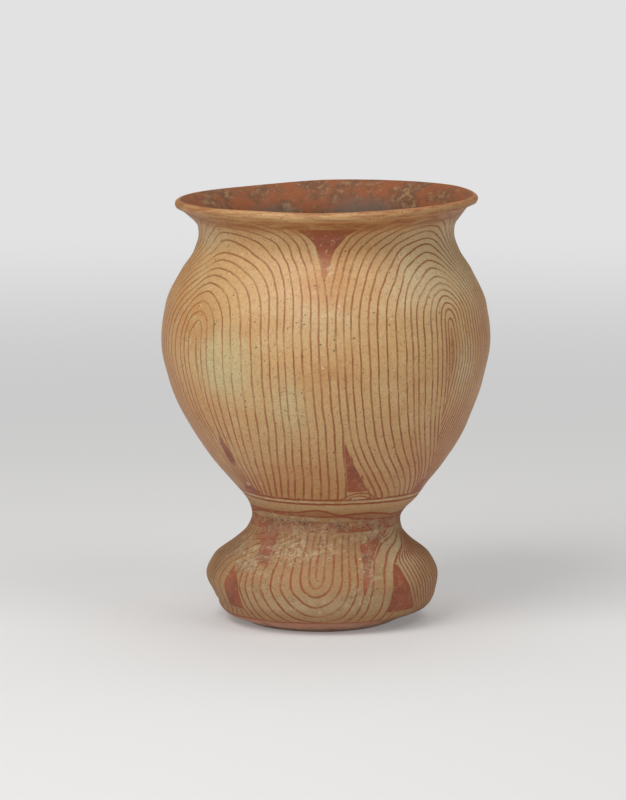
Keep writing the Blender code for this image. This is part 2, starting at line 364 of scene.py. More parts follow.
@dataclass
class BodyPattern:
    """Four whorls round the bowl and the gores between them."""

    read_climb: float = 250.0
    pitch: float = 5.5
    squareness: float = 0.02
    gather_reach: float = 30.0
    foot_end: float = 127.5
    top_end: float = 326.0
    top_flare: float = 0.6
    flare_start: float = 302.0
    right_side: float = 97.0
    back: float = 181.0
    left_side: float = -101.0
    gore_turn: float = 5.5
    flank_middle: float = 24.0
    flank_reach: float = 46.0
    gore_reach: float = 30.0
    blush_low: float = 120.5
    last_lines: int = 3
    brow: Pairs = (
        (6.0, 118.0), (8.5, 121.5), (12.0, 124.3), (16.5, 126.0), (21.0, 125.2), (26.0, 122.0), (29.0, 118.0),
    )
    whorls: tuple[Whorl, ...] = field(init=False)
    gores: tuple[Gore, ...] = field(init=False)

    def __post_init__(self) -> None:
        """Lay out the whorls, in order round the jar."""
        blush = ((110.0, 9.0), (122.0, 8.0), (132.0, 1.0), (138.0, -2.0), (336.0, -2.0))
        near_apexes = (
            244.0, 255.0, 261.0, 268.0, 275.0, 281.0, 287.0, 292.5, 299.0, 304.0, 313.0, 318.5, 324.0, 329.0,
        )
        far_apexes = (
            250.0, 257.0, 263.0, 267.5, 272.5, 277.0, 281.5, 286.5, 293.0, 298.5, 304.0, 309.5, 313.0, 318.0,
            322.5, 328.0,
        )
        side_offset = self.right_side - FRONT_LEFT_EDGE[0][1]
        back_offset = self.back - FRONT_LEFT_EDGE[0][1]
        left_offset = self.left_side - FRONT_LEFT_EDGE[0][1]
        front_left = Whorl(
            core=-50.6,
            apexes=near_apexes,
            left=Flank(
                (-51.0, -55.4, -58.0, -60.4, -64.4, -67.8, -71.0, -74.0, -77.0, -80.0, -83.0),
                ((250.0, -87.0), (118.0, -87.0)),
                bend=1.2,
            ),
            right=Flank(
                (
                    -50.6, -48.4, -45.8, -42.4, -38.5, -35.1, -31.0, -27.2, -23.3, -20.4, -17.3, -14.8, -11.6,
                    -8.6, -5.5, -2.8, 0.2, 3.1,
                ),
                FRONT_LEFT_EDGE,
                bend=2.2,
            ),
            seam=(
                (255.0, -50.8), (240.0, -51.0), (165.0, -51.0), (150.0, -52.5), (130.0, -53.5),
                (118.0, -54.5),
            ),
            blush=(
                (110.0, 8.0), (123.0, 7.5), (130.0, 2.5), (135.0, -1.0), (145.0, 0.2), (153.0, 4.0),
                (163.0, 3.4), (178.0, -1.0), (336.0, -2.0),
            ),
            gather=0.85,
        )
        front_right = Whorl(
            core=48.6,
            apexes=far_apexes,
            left=Flank(
                (
                    48.7, 47.3, 45.9, 43.8, 41.5, 39.0, 35.7, 32.9, 30.8, 28.2, 24.5, 20.9, 17.6, 14.6, 11.3,
                    8.4, 5.9, 3.1,
                ),
                FRONT_RIGHT_EDGE,
            ),
            right=Flank(
                (
                    48.7, 50.3, 52.0, 53.8, 55.5, 57.2, 59.0, 61.0, 63.0, 65.0, 67.2, 69.5, 72.0, 74.5, 77.0,
                    79.5, 82.0,
                ),
                shifted(FRONT_LEFT_EDGE, side_offset),
            ),
            seam=(
                (257.0, 48.6), (235.0, 48.8), (215.0, 49.3), (195.0, 49.7), (180.0, 51.0), (165.0, 53.2),
                (145.0, 58.0), (130.0, 62.0), (116.0, 65.0),
            ),
            blush=(
                (110.0, 8.0), (122.0, 7.0), (130.0, 2.5), (136.0, -1.5), (186.0, -1.0), (194.0, 0.9),
                (204.0, 1.0), (214.0, -0.6), (225.0, -0.2), (240.0, 0.6), (252.0, 0.2), (258.0, -2.0),
                (336.0, -2.0),
            ),
        )
        right_core = 0.5 * (self.right_side + self.back)
        back_right = Whorl(
            core=right_core,
            apexes=near_apexes,
            left=Flank(
                even_lines(right_core, self.right_side + self.gore_turn, 14),
                shifted(FRONT_RIGHT_EDGE, side_offset),
            ),
            right=Flank(even_lines(right_core, self.back, 15), shifted(FRONT_LEFT_EDGE, back_offset)),
            seam=((250.0, right_core), (180.0, right_core + 1.0), (118.0, right_core + 5.0)),
            blush=blush,
        )
        left_core = 0.5 * (self.left_side + self.back) - 180.0
        far_edge = self.back + self.gore_turn - 360.0
        back_left = Whorl(
            core=left_core,
            apexes=far_apexes,
            left=Flank(even_lines(left_core, far_edge, 14), shifted(FRONT_RIGHT_EDGE, back_offset - 360.0)),
            right=Flank(even_lines(left_core, self.left_side, 14), shifted(FRONT_LEFT_EDGE, left_offset)),
            seam=((250.0, left_core), (180.0, left_core + 1.0), (118.0, left_core + 5.0)),
            blush=blush,
        )
        self.whorls = (front_left, front_right, back_right, back_left)
        left_divide = shifted(STEEP_DIVIDE, left_offset)
        self.gores = (
            Gore(0.0, FRONT_DIVIDE, 16.1, 19.0, FRONT_RIGHT_EDGE),
            Gore(side_offset, shifted(FRONT_DIVIDE, side_offset), 22.1, 17.0, back_right.left.edge),
            Gore(back_offset, shifted(FRONT_DIVIDE, back_offset), 15.1, 17.0, back_left.left.edge),
            Gore(left_offset, left_divide, 14.1, 17.0, left_divide, foot_gap=1.2, top=262.0, arch=0.5),
        )

    def _counts(self, whorl: Whorl, flank: Flank, turn: np.ndarray, climb: np.ndarray) -> np.ndarray:
        """Lines between each point and the core of a whorl, on one flank.

        Args:
            whorl: the whorl.
            flank: the flank of it whose lines are counted.
            turn: turns of the points.
            climb: climbs of the points.

        Returns:
            A count for each point, whole on a line.
        """
        edge = SmoothCurve(flank.edge)(climb)
        edge_at_reading = float(SmoothCurve(flank.edge)(np.array([self.read_climb]))[0])
        below = climb < self.read_climb
        shrink = np.where(below, FACE.radius_at(climb) / FACE.radius_at(self.read_climb), 1.0)
        seam = SmoothCurve(whorl.seam)(climb)
        start = flank.lines[0]
        facing = math.copysign(1.0, flank.lines[-1] - start)
        lines = facing * (np.array(flank.lines) - start)
        offset = facing * (edge_at_reading - start + shrink * around(turn - edge))
        lost = facing * (edge_at_reading - start + shrink * around(seam - edge))
        pull = np.clip(1.0 - np.abs(around(turn - seam)) / self.gather_reach, 0.0, 1.0) ** 2
        offset = offset - whorl.gather * lost * pull
        first_gap = lines[1] - lines[0]
        last_gap = (lines[-1] - lines[-1 - self.last_lines]) / self.last_lines
        across = np.interp(offset, lines, np.arange(len(lines))) + np.minimum(offset, 0.0) / first_gap
        across = across + np.maximum(offset - lines[-1], 0.0) / last_gap
        apexes = np.array(whorl.apexes)
        up = np.interp(climb, apexes, np.arange(len(apexes)))
        up = up + np.maximum(climb - apexes[-1], 0.0) / self.pitch
        reach = np.maximum(across, 0.0)
        power = flank.bend + self.squareness * (reach + up)
        return np.where(up > 0.0, (reach ** power + up ** power) ** (1.0 / power), across)

    def fields(self, turn: np.ndarray, climb: np.ndarray) -> dict[str, np.ndarray]:
        """Plan of the bowl's painting.

        Args:
            turn: turns of the points.
            climb: climbs of the points.

        Returns:
            Line counts of right and left flanks, which of the two holds, the depth in red fields, the depth
            in places without lines, and the distance from the small arch under each gore.
        """
        arc = FACE.arc_at(climb)
        bare = np.full_like(turn, OUTSIDE)
        brow = np.full_like(turn, -OUTSIDE)
        right_counts = np.zeros_like(turn)
        left_counts = np.zeros_like(turn)
        side = np.full_like(turn, FAR_AWAY)
        fill = np.full_like(turn, OUTSIDE)
        rights = [self._counts(whorl, whorl.right, turn, climb) for whorl in self.whorls]
        lefts = [self._counts(whorl, whorl.left, turn, climb) for whorl in self.whorls]
        for index, whorl in enumerate(self.whorls):
            gore = self.gores[index]
            after = (index + 1) % len(self.whorls)
            seam_offset = around(turn - SmoothCurve(whorl.seam)(climb))
            divide_offset = around(turn - SmoothCurve(gore.divide)(climb))
            side = np.where(np.abs(arc * seam_offset) < np.abs(side), -arc * seam_offset, side)
            side = np.where(np.abs(arc * divide_offset) < np.abs(side), arc * divide_offset, side)
            near_right = np.abs(around(turn - whorl.core - self.flank_middle)) < self.flank_reach
            near_left = np.abs(around(turn - whorl.core + self.flank_middle)) < self.flank_reach
            right_counts = np.where(near_right, NUMBERS_APART * index + rights[index], right_counts)
            left_counts = np.where(near_left, NUMBERS_APART * index + lefts[index], left_counts)
            near_gore = np.abs(divide_offset) < self.gore_reach
            flare = self.top_flare * smooth_step(climb, self.flare_start, self.top_end)
            left_room = rights[index] - gore.left_count + flare
            right_room = lefts[after] - gore.right_count + flare
            top = np.minimum(np.minimum(left_room, right_room) * self.pitch, climb - gore.top)
            gap = -arc * around(turn - SmoothCurve(gore.foot_edge)(climb)) - gore.foot_gap
            foot_room = rights[index] - gore.left_count - gore.foot_lines
            foot = np.minimum(np.minimum(foot_room * self.pitch, gap), gore.foot - climb)
            bare = np.where(near_gore, np.maximum(bare, np.maximum(top, foot)), bare)
            top = np.minimum(top, self.top_end - climb)
            foot = np.minimum(foot, climb - self.foot_end)
            fill = np.where(near_gore, np.maximum(fill, np.maximum(top, foot)), fill)
            start = self.brow[0][0]
            arch = start + (around(turn - gore.shift) - start) / gore.arch
            under = (arch > start) & (arch < self.brow[-1][0])
            brow = np.where(under, climb - SmoothCurve(self.brow)(arch), brow)
            blush = SmoothCurve(whorl.blush)(climb) - np.abs(arc * seam_offset)
            fill = np.maximum(fill, np.minimum(blush, climb - self.blush_low))
        return {
            "line_right": right_counts, "line_left": left_counts, "side": side, "fill": fill, "bare": bare,
            "brow": brow,
        }


@dataclass(frozen=True)
class FootLoop:
    """Nested loops on the pedestal, with the S-shaped lines and red wedges on their right.

    Attributes:
        axis: turn of the loops' axis.
        left_legs: offsets of the left legs from the axis at the reading climb.
        left_edge: offset of the outermost left leg, as pairs of climb and offset.
        wedge_edge: right edge of the wedge past the S-shaped lines, as pairs of climb and offset.
        hangs: whether a red wedge hangs from the stem on either side of it.
    """

    axis: float
    left_legs: tuple[float, ...]
    left_edge: Pairs
    wedge_edge: Pairs
    hangs: bool


@dataclass
class FootPattern:
    """Loops, S-shaped lines and wedges round the pedestal."""

    read_climb: float = 60.0
    bend: float = 1.5
    rounding: float = 0.12
    rounded_loops: float = 5.0
    bottoms: tuple[float, ...] = (
        55.0, 47.0, 41.0, 33.0, 25.0, 19.5, 14.0, 8.0, 2.0, -4.0, -10.0, -16.0, -22.0,
    )
    right_legs: tuple[float, ...] = (0.0, 4.3, 9.2, 14.0, 18.0, 22.3, 26.5, 31.0)
    even_legs: tuple[float, ...] = (0.0, -3.7, -8.0, -13.0, -18.0, -23.3, -29.0, -34.0, -38.0, -42.0, -46.0)
    dense_legs: tuple[float, ...] = (
        0.0, -3.7, -8.0, -12.5, -16.5, -20.5, -24.5, -28.0, -31.0, -34.0, -37.0, -40.0, -43.0, -46.0,
    )
    even_edge: Pairs = ((10.0, -42.5), (60.0, -42.5), (80.0, -48.0), (95.0, -52.0))
    slant_edge: Pairs = (
        (20.0, -32.0), (28.0, -36.0), (35.0, -39.5), (42.0, -42.0), (50.0, -44.0), (60.0, -45.5),
        (66.0, -43.0), (71.0, -36.0), (75.0, -29.0), (85.0, -20.0), (95.0, -18.0),
    )
    ess_left: Pairs = (
        (30.0, 24.5), (38.0, 23.8), (50.0, 24.0), (60.0, 26.4), (66.0, 28.0), (82.0, 28.5), (95.0, 28.0),
    )
    ess_right: Pairs = (
        (30.0, 23.0), (38.0, 24.2), (50.0, 27.6), (60.0, 30.3), (70.0, 35.5), (76.0, 39.5), (80.0, 44.0),
        (84.0, 50.0), (91.0, 60.0),
    )
    ess_top: Pairs = ((24.0, 79.0), (29.0, 81.0), (39.0, 84.5), (55.0, 92.0))
    ess_lines: tuple[Pairs, ...] = (
        (
            (15.0, 21.5), (23.0, 24.5), (30.0, 26.5), (45.0, 28.5), (52.0, 30.0), (60.0, 32.0), (67.0, 35.0),
            (73.0, 40.0), (80.0, 47.0), (83.0, 55.0), (85.5, 63.0), (90.0, 70.0),
        ),
        (
            (15.0, 29.0), (25.0, 33.0), (32.0, 34.5), (50.0, 36.0), (57.0, 37.5), (63.0, 41.0), (70.0, 46.0),
            (76.0, 53.0), (79.5, 61.0), (88.0, 75.0),
        ),
        (
            (15.0, 35.0), (25.0, 38.0), (33.0, 39.5), (45.0, 41.0), (55.0, 43.0), (61.0, 46.0), (66.0, 51.0),
            (71.0, 58.0), (75.0, 65.0), (85.0, 79.0),
        ),
    )
    loop_end: Pairs = (
        (10.0, 18.0), (24.0, 22.6), (31.0, 24.6), (38.0, 24.0), (50.0, 25.8), (60.0, 28.0), (66.0, 30.0),
        (82.0, 36.0), (95.0, 40.0),
    )
    ess_end: Pairs = (
        (10.0, 46.5), (36.0, 46.5), (55.0, 46.0), (62.0, 48.0), (66.0, 52.5), (71.0, 59.5), (75.0, 66.5),
        (85.0, 76.0), (95.0, 80.0),
    )
    slant_wedge: Pairs = (
        (20.0, 61.0), (28.0, 58.0), (35.0, 54.5), (42.0, 52.0), (50.0, 50.0), (58.0, 48.3), (63.0, 46.0),
    )
    upright_wedge: Pairs = ((20.0, 51.0), (28.0, 51.3), (45.0, 51.5), (51.0, 49.0), (55.0, 45.0))
    wedge_foot: float = 26.5
    ess_foot: float = 36.0
    hanging_reach: Span = (63.0, 92.0)
    hanging_left: Pairs = (
        (58.0, -33.0), (62.0, -36.0), (70.0, -40.5), (78.0, -44.0), (84.0, -49.0), (92.0, -54.0),
    )
    hanging_right: Pairs = (
        (58.0, -32.5), (62.0, -29.5), (70.0, -29.0), (78.0, -31.5), (84.0, -33.5), (92.0, -34.5),
    )
    base_band: float = 17.0
    stem_band: Span = (90.5, 98.5)
    loop_reach: float = 47.0
    ess_middle: float = 36.0
    field_reach: float = 85.0
    first_number: float = 500.0
    ess_number: float = 50.0
    loops: tuple[FootLoop, ...] = field(init=False)

    def __post_init__(self) -> None:
        """Lay out the loops, in order round the pedestal."""
        self.loops = (
            FootLoop(-97.0, self.dense_legs, self.slant_edge, self.upright_wedge, False),
            FootLoop(-3.0, self.even_legs, self.even_edge, self.slant_wedge, True),
            FootLoop(91.0, self.dense_legs, self.slant_edge, self.slant_wedge, False),
            FootLoop(177.0, self.even_legs, self.even_edge, self.slant_wedge, True),
        )

    def _loop_counts(self, loop: FootLoop, offset: np.ndarray, climb: np.ndarray) -> np.ndarray:
        """Lines between each point and the core of a loop.

        Args:
            loop: the loop.
            offset: turns of the points from the loop's axis.
            climb: climbs of the points.

        Returns:
            A count for each point, whole on a line.
        """
        narrowing = np.sqrt(FACE.radius_at(climb) / FACE.radius_at(self.read_climb))
        edge = SmoothCurve(loop.left_edge)
        edge_at_reading = float(edge(np.array([self.read_climb]))[0])
        left_reading = -offset * edge_at_reading / edge(climb)
        right = np.interp(offset * narrowing, self.right_legs, np.arange(len(self.right_legs)))
        legs = -np.array(loop.left_legs)
        left = np.interp(left_reading, legs, np.arange(len(legs)))
        across = np.where(offset > 0.0, right, left)
        down = np.interp(-climb, -np.array(self.bottoms), np.arange(len(self.bottoms)))
        power = self.bend + self.rounding * np.minimum(across + down, self.rounded_loops)
        return (across ** power + down ** power) ** (1.0 / power)

    @staticmethod
    def _between(left: Pairs, right: Pairs, offset: np.ndarray, climb: np.ndarray) -> np.ndarray:
        """Depth in millimetres between two paths, negative outside them."""
        arc = FACE.arc_at(climb)
        return arc * np.minimum(offset - SmoothCurve(left)(climb), SmoothCurve(right)(climb) - offset)

    def _ess_counts(self, offset: np.ndarray, climb: np.ndarray) -> np.ndarray:
        """Count of S-shaped lines, whole on a line, from the turns of the three at each climb."""
        first, second, third = (SmoothCurve(line)(climb) for line in self.ess_lines)
        low = 1.0 + (offset - first) / (second - first)
        high = 2.0 + (offset - second) / (third - second)
        return np.where(offset < second, low, high)

    def fields(self, turn: np.ndarray, climb: np.ndarray) -> dict[str, np.ndarray]:
        """Plan of the pedestal's painting, in the same terms as the bowl's.

        Args:
            turn: turns of the points.
            climb: climbs of the points.

        Returns:
            Line counts of loops and S-shaped lines, which of the two holds, and the depth in red fields.
        """
        arc = FACE.arc_at(climb)
        loop_counts = np.zeros_like(turn)
        ess_counts = np.zeros_like(turn)
        side = np.full_like(turn, FAR_AWAY)
        fill = np.maximum(self.base_band - climb, OUTSIDE)
        middle = 0.5 * (self.stem_band[0] + self.stem_band[1])
        fill = np.maximum(fill, 0.5 * (self.stem_band[1] - self.stem_band[0]) - np.abs(climb - middle))
        for index, loop in enumerate(self.loops):
            offset = around(turn - loop.axis)
            near_loop = np.abs(offset) < self.loop_reach
            near_ess = np.abs(offset - self.ess_middle) < self.loop_reach
            number = self.first_number + NUMBERS_APART * index
            loop_count = number + self._loop_counts(loop, offset, climb)
            ess_count = number + self.ess_number + self._ess_counts(offset, climb)
            loop_counts = np.where(near_loop, loop_count, loop_counts)
            ess_counts = np.where(near_ess, ess_count, ess_counts)
            to_ess = arc * (offset - SmoothCurve(self.loop_end)(climb))
            to_next = arc * (offset - SmoothCurve(self.ess_end)(climb))
            side = np.where(np.abs(to_ess) < np.abs(side), to_ess, side)
            side = np.where(np.abs(to_next) < np.abs(side), -to_next, side)
            ess = self._between(self.ess_left, self.ess_right, offset, climb)
            ess = np.minimum(ess, SmoothCurve(self.ess_top)(offset) - climb)
            ess = np.minimum(ess, climb - self.ess_foot)
            wedge = self._between(self.ess_lines[2], loop.wedge_edge, offset, climb)
            wedge = np.minimum(wedge, climb - self.wedge_foot)
            depths = [wedge]
            if loop.hangs:
                hanging = self._between(self.hanging_left, self.hanging_right, offset, climb)
                low, high = self.hanging_reach
                depths += [ess, np.minimum(np.minimum(hanging, climb - low), high - climb)]
            for depth in depths:
                fill = np.maximum(fill, np.where(np.abs(offset) < self.field_reach, depth, OUTSIDE))
        outside = np.full_like(turn, OUTSIDE)
        return {
            "line_right": loop_counts, "line_left": ess_counts, "side": side, "fill": fill, "bare": outside,
            "brow": -outside,
        }


@dataclass
class JarStory:
    """Everything painted on the jar, everything that time did to it, and the shade and sheen painted into its
    colour, as values for each point.
    """

    body: BodyPattern = field(default_factory=BodyPattern)
    foot: FootPattern = field(default_factory=FootPattern)
    ledge: float = 103.0
    step: float = 0.4
    wave_high: Pairs = (
        (-180.0, 102.5), (-95.0, 103.0), (-65.0, 104.0), (-25.0, 105.0), (-8.0, 108.3), (10.0, 103.5),
        (30.0, 104.5), (60.0, 100.8), (95.0, 103.5), (180.0, 102.5),
    )
    wave_low: Pairs = (
        (-180.0, 100.0), (-95.0, 99.0), (-50.0, 103.2), (-12.0, 102.5), (12.0, 102.5), (20.0, 100.4),
        (60.0, 98.2), (95.0, 100.5), (180.0, 100.0),
    )
    clouds: Blots = (
        (-38.0, 227.0, 10.0, 20.0, 1.0), (-26.0, 206.0, 11.0, 13.0, 0.45), (-14.0, 201.0, 7.0, 16.0, 0.75),
        (-20.0, 180.0, 10.0, 14.0, 0.3), (57.0, 220.0, 4.0, 16.0, 0.4), (118.0, 215.0, 10.0, 24.0, 0.8),
        (-150.0, 240.0, 9.0, 20.0, 0.7), (165.0, 175.0, 8.0, 16.0, 0.5),
    )
    # Pale patches; those high on the shoulders and the neck are painted sheen, a soft highlight of the lamps
    pale_patches_and_sheens: Blots = (
        (44.0, 288.0, 17.0, 26.0, 1.0), (66.0, 292.0, 14.0, 26.0, 1.0), (-64.0, 311.0, 8.0, 8.0, 0.7),
        (57.0, 222.0, 5.0, 18.0, 0.8), (150.0, 300.0, 22.0, 12.0, 0.8), (-120.0, 296.0, 18.0, 10.0, 0.6),
        (0.0, 112.0, 60.0, 4.0, 0.5), (-2.0, 260.0, 16.0, 18.0, 0.5), (-5.0, 35.0, 45.0, 8.0, 0.6),
        (52.0, 74.0, 16.0, 24.0, 0.8),
    )
    # Darker, redder patches; those at the sides of the body, at its lower right and at the ends of the lip are
    # painted shade
    rosy_patches_and_shade: Blots = (
        (49.0, 232.0, 4.0, 20.0, 0.8), (-76.0, 240.0, 7.0, 40.0, 0.7), (72.0, 230.0, 9.0, 36.0, 0.9),
        (-53.0, 140.0, 4.0, 9.0, 0.9), (66.0, 165.0, 16.0, 36.0, 1.0), (100.0, 180.0, 16.0, 40.0, 0.6),
        (-72.0, 185.0, 12.0, 36.0, 0.8), (-120.0, 190.0, 20.0, 40.0, 0.6), (180.0, 250.0, 20.0, 24.0, 0.6),
        (64.0, 338.0, 40.0, 6.0, 1.0), (-70.0, 338.0, 30.0, 6.0, 0.75),
    )
    scuffs: Blots = (
        (-53.0, 130.0, 1.6, 2.0, 0.8), (16.0, 120.5, 6.0, 1.2, 0.6), (1.0, 296.0, 2.0, 7.0, 0.4),
        (-20.0, 117.0, 24.0, 1.0, 0.45), (120.0, 285.0, 2.0, 2.0, 0.5), (-160.0, 190.0, 1.6, 2.2, 0.5),
    )
    crusts: Blots = (
        (-20.0, 78.0, 26.0, 11.0, 0.9), (-48.0, 70.0, 12.0, 15.0, 0.8), (-34.0, 54.0, 12.0, 11.0, 0.5),
        (28.0, 62.0, 8.0, 15.0, 0.6), (-66.0, 76.0, 12.0, 12.0, 0.5), (38.0, 88.0, 16.0, 6.0, 0.7),
        (-30.0, 97.0, 24.0, 5.0, 0.8), (10.0, 95.0, 42.0, 4.0, 0.65), (20.0, 40.0, 12.0, 9.0, 0.4),
        (140.0, 76.0, 30.0, 12.0, 0.8), (-140.0, 70.0, 24.0, 14.0, 0.7), (90.0, 92.0, 20.0, 5.0, 0.5),
    )
    # Dark marks: soot and dirt, and painted shade on the underside of the base at the right and back and in the
    # waist under the bowl
    soot_and_shade_blots: Blots = (
        (162.0, 311.0, 16.0, 8.0, 1.0), (-150.0, 314.0, 14.0, 6.0, 0.7), (60.0, 300.0, 30.0, 14.0, 0.8),
        (-60.0, 306.0, 24.0, 12.0, 0.7), (66.0, 14.0, 26.0, 9.0, 1.0), (-32.0, 98.0, 22.0, 2.2, 0.9),
        (-37.0, 68.0, 4.0, 4.0, 0.8), (-74.0, 64.0, 16.0, 22.0, 0.75), (-48.0, 57.0, 12.0, 12.0, 0.5),
        (150.0, 10.0, 30.0, 8.0, 0.7), (-120.0, 96.0, 20.0, 4.0, 0.7),
    )

    @staticmethod
    def _strongest(blots: Blots, turn: np.ndarray, climb: np.ndarray) -> np.ndarray:
        """Strength of the strongest of some blots at each point."""
        strength = np.zeros_like(turn)
        for blot in blots:
            strength = np.maximum(strength, blot_strength(blot, turn, climb))
        return strength

    def _plan(self, turn: np.ndarray, climb: np.ndarray, on_bowl: np.ndarray) -> dict[str, np.ndarray]:
        """Plan of the painting.

        Args:
            turn: turns of the points.
            climb: climbs of the points.
            on_bowl: whether each point follows the bowl's pattern and not the pedestal's.

        Returns:
            One array for each part of the plan.
        """
        bowl = self.body.fields(turn, climb)
        pedestal = self.foot.fields(turn, climb)
        return {name: np.where(on_bowl, bowl[name], pedestal[name]) for name in bowl}

    def fields(self, turn: np.ndarray, climb: np.ndarray) -> dict[str, np.ndarray]:
        """Values that the clay's material reads.

        Args:
            turn: turns of the points.
            climb: climbs of the points.

        Returns:
            One array for each attribute.
        """
        on_bowl = climb > self.ledge
        made = self._plan(turn, climb, on_bowl)
        arc = FACE.arc_at(climb)
        beside = self._plan(turn + self.step / arc, climb, on_bowl)
        above = self._plan(turn, climb + self.step, on_bowl)
        on_right = made["side"] < 0.0
        here, right, up = (
            np.where(on_right, plan["line_right"], plan["line_left"]) for plan in (made, beside, above)
        )
        made["crowd"] = np.minimum(np.hypot(right - here, up - here) / self.step, 1.0)
        made["wave_high"] = climb - SmoothCurve(self.wave_high)(turn)
        made["wave_low"] = climb - SmoothCurve(self.wave_low)(turn)
        marks = {
            "cloud": self.clouds, "pale_patch_and_sheen": self.pale_patches_and_sheens, "rosy_patch_and_shade": self.rosy_patches_and_shade, "scuff": self.scuffs,
            "crust": self.crusts, "soot_and_shade": self.soot_and_shade_blots,
        }
        for name, blots in marks.items():
            made[name] = self._strongest(blots, turn, climb)
        return made


def srgb(red: int, green: int, blue: int) -> Colour:
    """Linear colour of an sRGB value."""
    channels = (red / 255.0, green / 255.0, blue / 255.0)
    linear = tuple(((c + 0.055) / 1.055) ** 2.4 if c > 0.04045 else c / 12.92 for c in channels)
    return (*linear, 1.0)


class Value:
    """Socket that takes part in Python expressions, each of which adds a Math node."""

    def __init__(self, graph: "Graph", socket: bpy.types.NodeSocket) -> None:
        """Keep the socket and the graph it belongs to."""
        self.graph = graph
        self.socket = socket

    def __add__(self, other: Any) -> "Value":
        """Sum."""
        return self.graph.math('ADD', self, other)

    def __radd__(self, other: Any) -> "Value":
        """Sum with a number on the left."""
        return self.graph.math('ADD', other, self)

    def __sub__(self, other: Any) -> "Value":
        """Difference."""
        return self.graph.math('SUBTRACT', self, other)

    def __rsub__(self, other: Any) -> "Value":
        """Difference with a number on the left."""
        return self.graph.math('SUBTRACT', other, self)

    def __mul__(self, other: Any) -> "Value":
        """Product."""
        return self.graph.math('MULTIPLY', self, other)

    def __rmul__(self, other: Any) -> "Value":
        """Product with a number on the left."""
        return self.graph.math('MULTIPLY', other, self)

    def __abs__(self) -> "Value":
        """Distance from zero."""
        return self.graph.math('ABSOLUTE', self)

    def __round__(self) -> "Value":
        """Nearest whole number."""
        return self.graph.math('ROUND', self)

    def least(self, other: Any) -> "Value":
        """Smaller of two values."""
        return self.graph.math('MINIMUM', self, other)

    def most(self, other: Any) -> "Value":
        """Larger of two values."""
        return self.graph.math('MAXIMUM', self, other)

    def rise(self, low: Any, high: Any) -> "Value":
        """Smooth rise from 0 at low to 1 at high."""
        settings = {"interpolation_type": 'SMOOTHSTEP'}
        inputs = {"Value": self, "From Min": low, "From Max": high}
        return Value(self.graph, self.graph.node("ShaderNodeMapRange", settings, inputs).outputs["Result"])


class Graph:
    """Node tree of one material."""

    def __init__(self, name: str) -> None:
        """Start a material with an empty tree.

        Args:
            name: name of the material.
        """
        self.material = bpy.data.materials.new(name)
        self.material.use_nodes = True
        self.tree = self.material.node_tree
        self.tree.nodes.clear()

    def node(self, kind: str, settings: dict[str, Any] | None = None,
             inputs: dict[str | int, Any] | None = None) -> bpy.types.Node:
        """Add a node.

        Args:
            kind: type of the node.
            settings: its own settings, which are set first.
            inputs: values or links of its sockets.

        Returns:
            The node.
        """
        made = self.tree.nodes.new(kind)
        for key, value in (settings or {}).items():
            setattr(made, key, value)
        for key, value in (inputs or {}).items():
            if isinstance(value, Value):
                self.tree.links.new(value.socket, made.inputs[key])
            else:
                made.inputs[key].default_value = value
        return made

    def math(self, operation: str, *values: Any) -> Value:
        """Result of a Math node."""
        made = self.node("ShaderNodeMath", {"operation": operation}, dict(enumerate(values)))
        return Value(self, made.outputs[0])

    def number(self, name: str) -> Value:
        """Number that the mesh holds for each point."""
        return Value(self, self.node("ShaderNodeAttribute", {"attribute_name": name}).outputs["Fac"])

    def place(self, name: str) -> Value:
        """Vector that the mesh holds for each point."""
        return Value(self, self.node("ShaderNodeAttribute", {"attribute_name": name}).outputs["Vector"])

    def stretch(self, vector: Value, factors: tuple[float, float, float]) -> Value:
        """Vector multiplied along each axis."""
        made = self.node("ShaderNodeVectorMath", {"operation": 'MULTIPLY'}, {0: vector, 1: factors})
        return Value(self, made.outputs[0])

    def warp(self, vector: Value, size: float, amount: float) -> Value:
        """Vector shaken by noise.

        Args:
            vector: place to read, in metres.
            size: width of the noise's features in millimetres.
            amount: reach of the shaking in millimetres.

        Returns:
            The shaken vector.
        """
        shake = self.node("ShaderNodeTexNoise", None, {"Vector": vector, "Scale": 1.0 / (size * MM)})
        reach = (amount * MM, amount * MM, amount * MM)
        inputs = {0: Value(self, shake.outputs[1]), 1: reach, 2: vector}
        made = self.node("ShaderNodeVectorMath", {"operation": 'MULTIPLY_ADD'}, inputs)
        return Value(self, made.outputs[0])

    def noise(self, vector: Value, size: float, detail: float = 2.0, roughness: float = 0.5) -> Value:
        """Soft noise from 0 to 1.

        Args:
            vector: place to read, in metres.
            size: width of its features in millimetres.
            detail: number of finer layers.
            roughness: strength of each finer layer.

        Returns:
            The noise.
        """
        inputs = {"Vector": vector, "Scale": 1.0 / (size * MM), "Detail": detail, "Roughness": roughness}
        return Value(self, self.node("ShaderNodeTexNoise", None, inputs).outputs[0])

    def chance(self, value: Value) -> Value:
        """Random number from 0 to 1 for each value."""
        made = self.node("ShaderNodeTexWhiteNoise", {"noise_dimensions": '1D'}, {"W": value})
        return Value(self, made.outputs["Value"])

    def grains(self, vector: Value, size: float) -> tuple[Value, Value]:
        """Scattered grains.

        Args:
            vector: place to read, in metres.
            size: distance between grains in millimetres.

        Returns:
            Distance from the nearest grain in grain spacings, and a random number for each grain.
        """
        made = self.node("ShaderNodeTexVoronoi", None, {"Vector": vector, "Scale": 1.0 / (size * MM)})
        split = self.node("ShaderNodeSeparateColor", None, {0: Value(self, made.outputs["Color"])})
        return Value(self, made.outputs["Distance"]), Value(self, split.outputs[0])

    def mix(self, factor: Any, low: Any, high: Any, blend: str = 'MIX') -> Value:
        """Mix of two colours."""
        settings = {"data_type": 'RGBA', "blend_type": blend}
        made = self.node("ShaderNodeMix", settings, {0: factor, 6: low, 7: high})
        return Value(self, made.outputs[2])


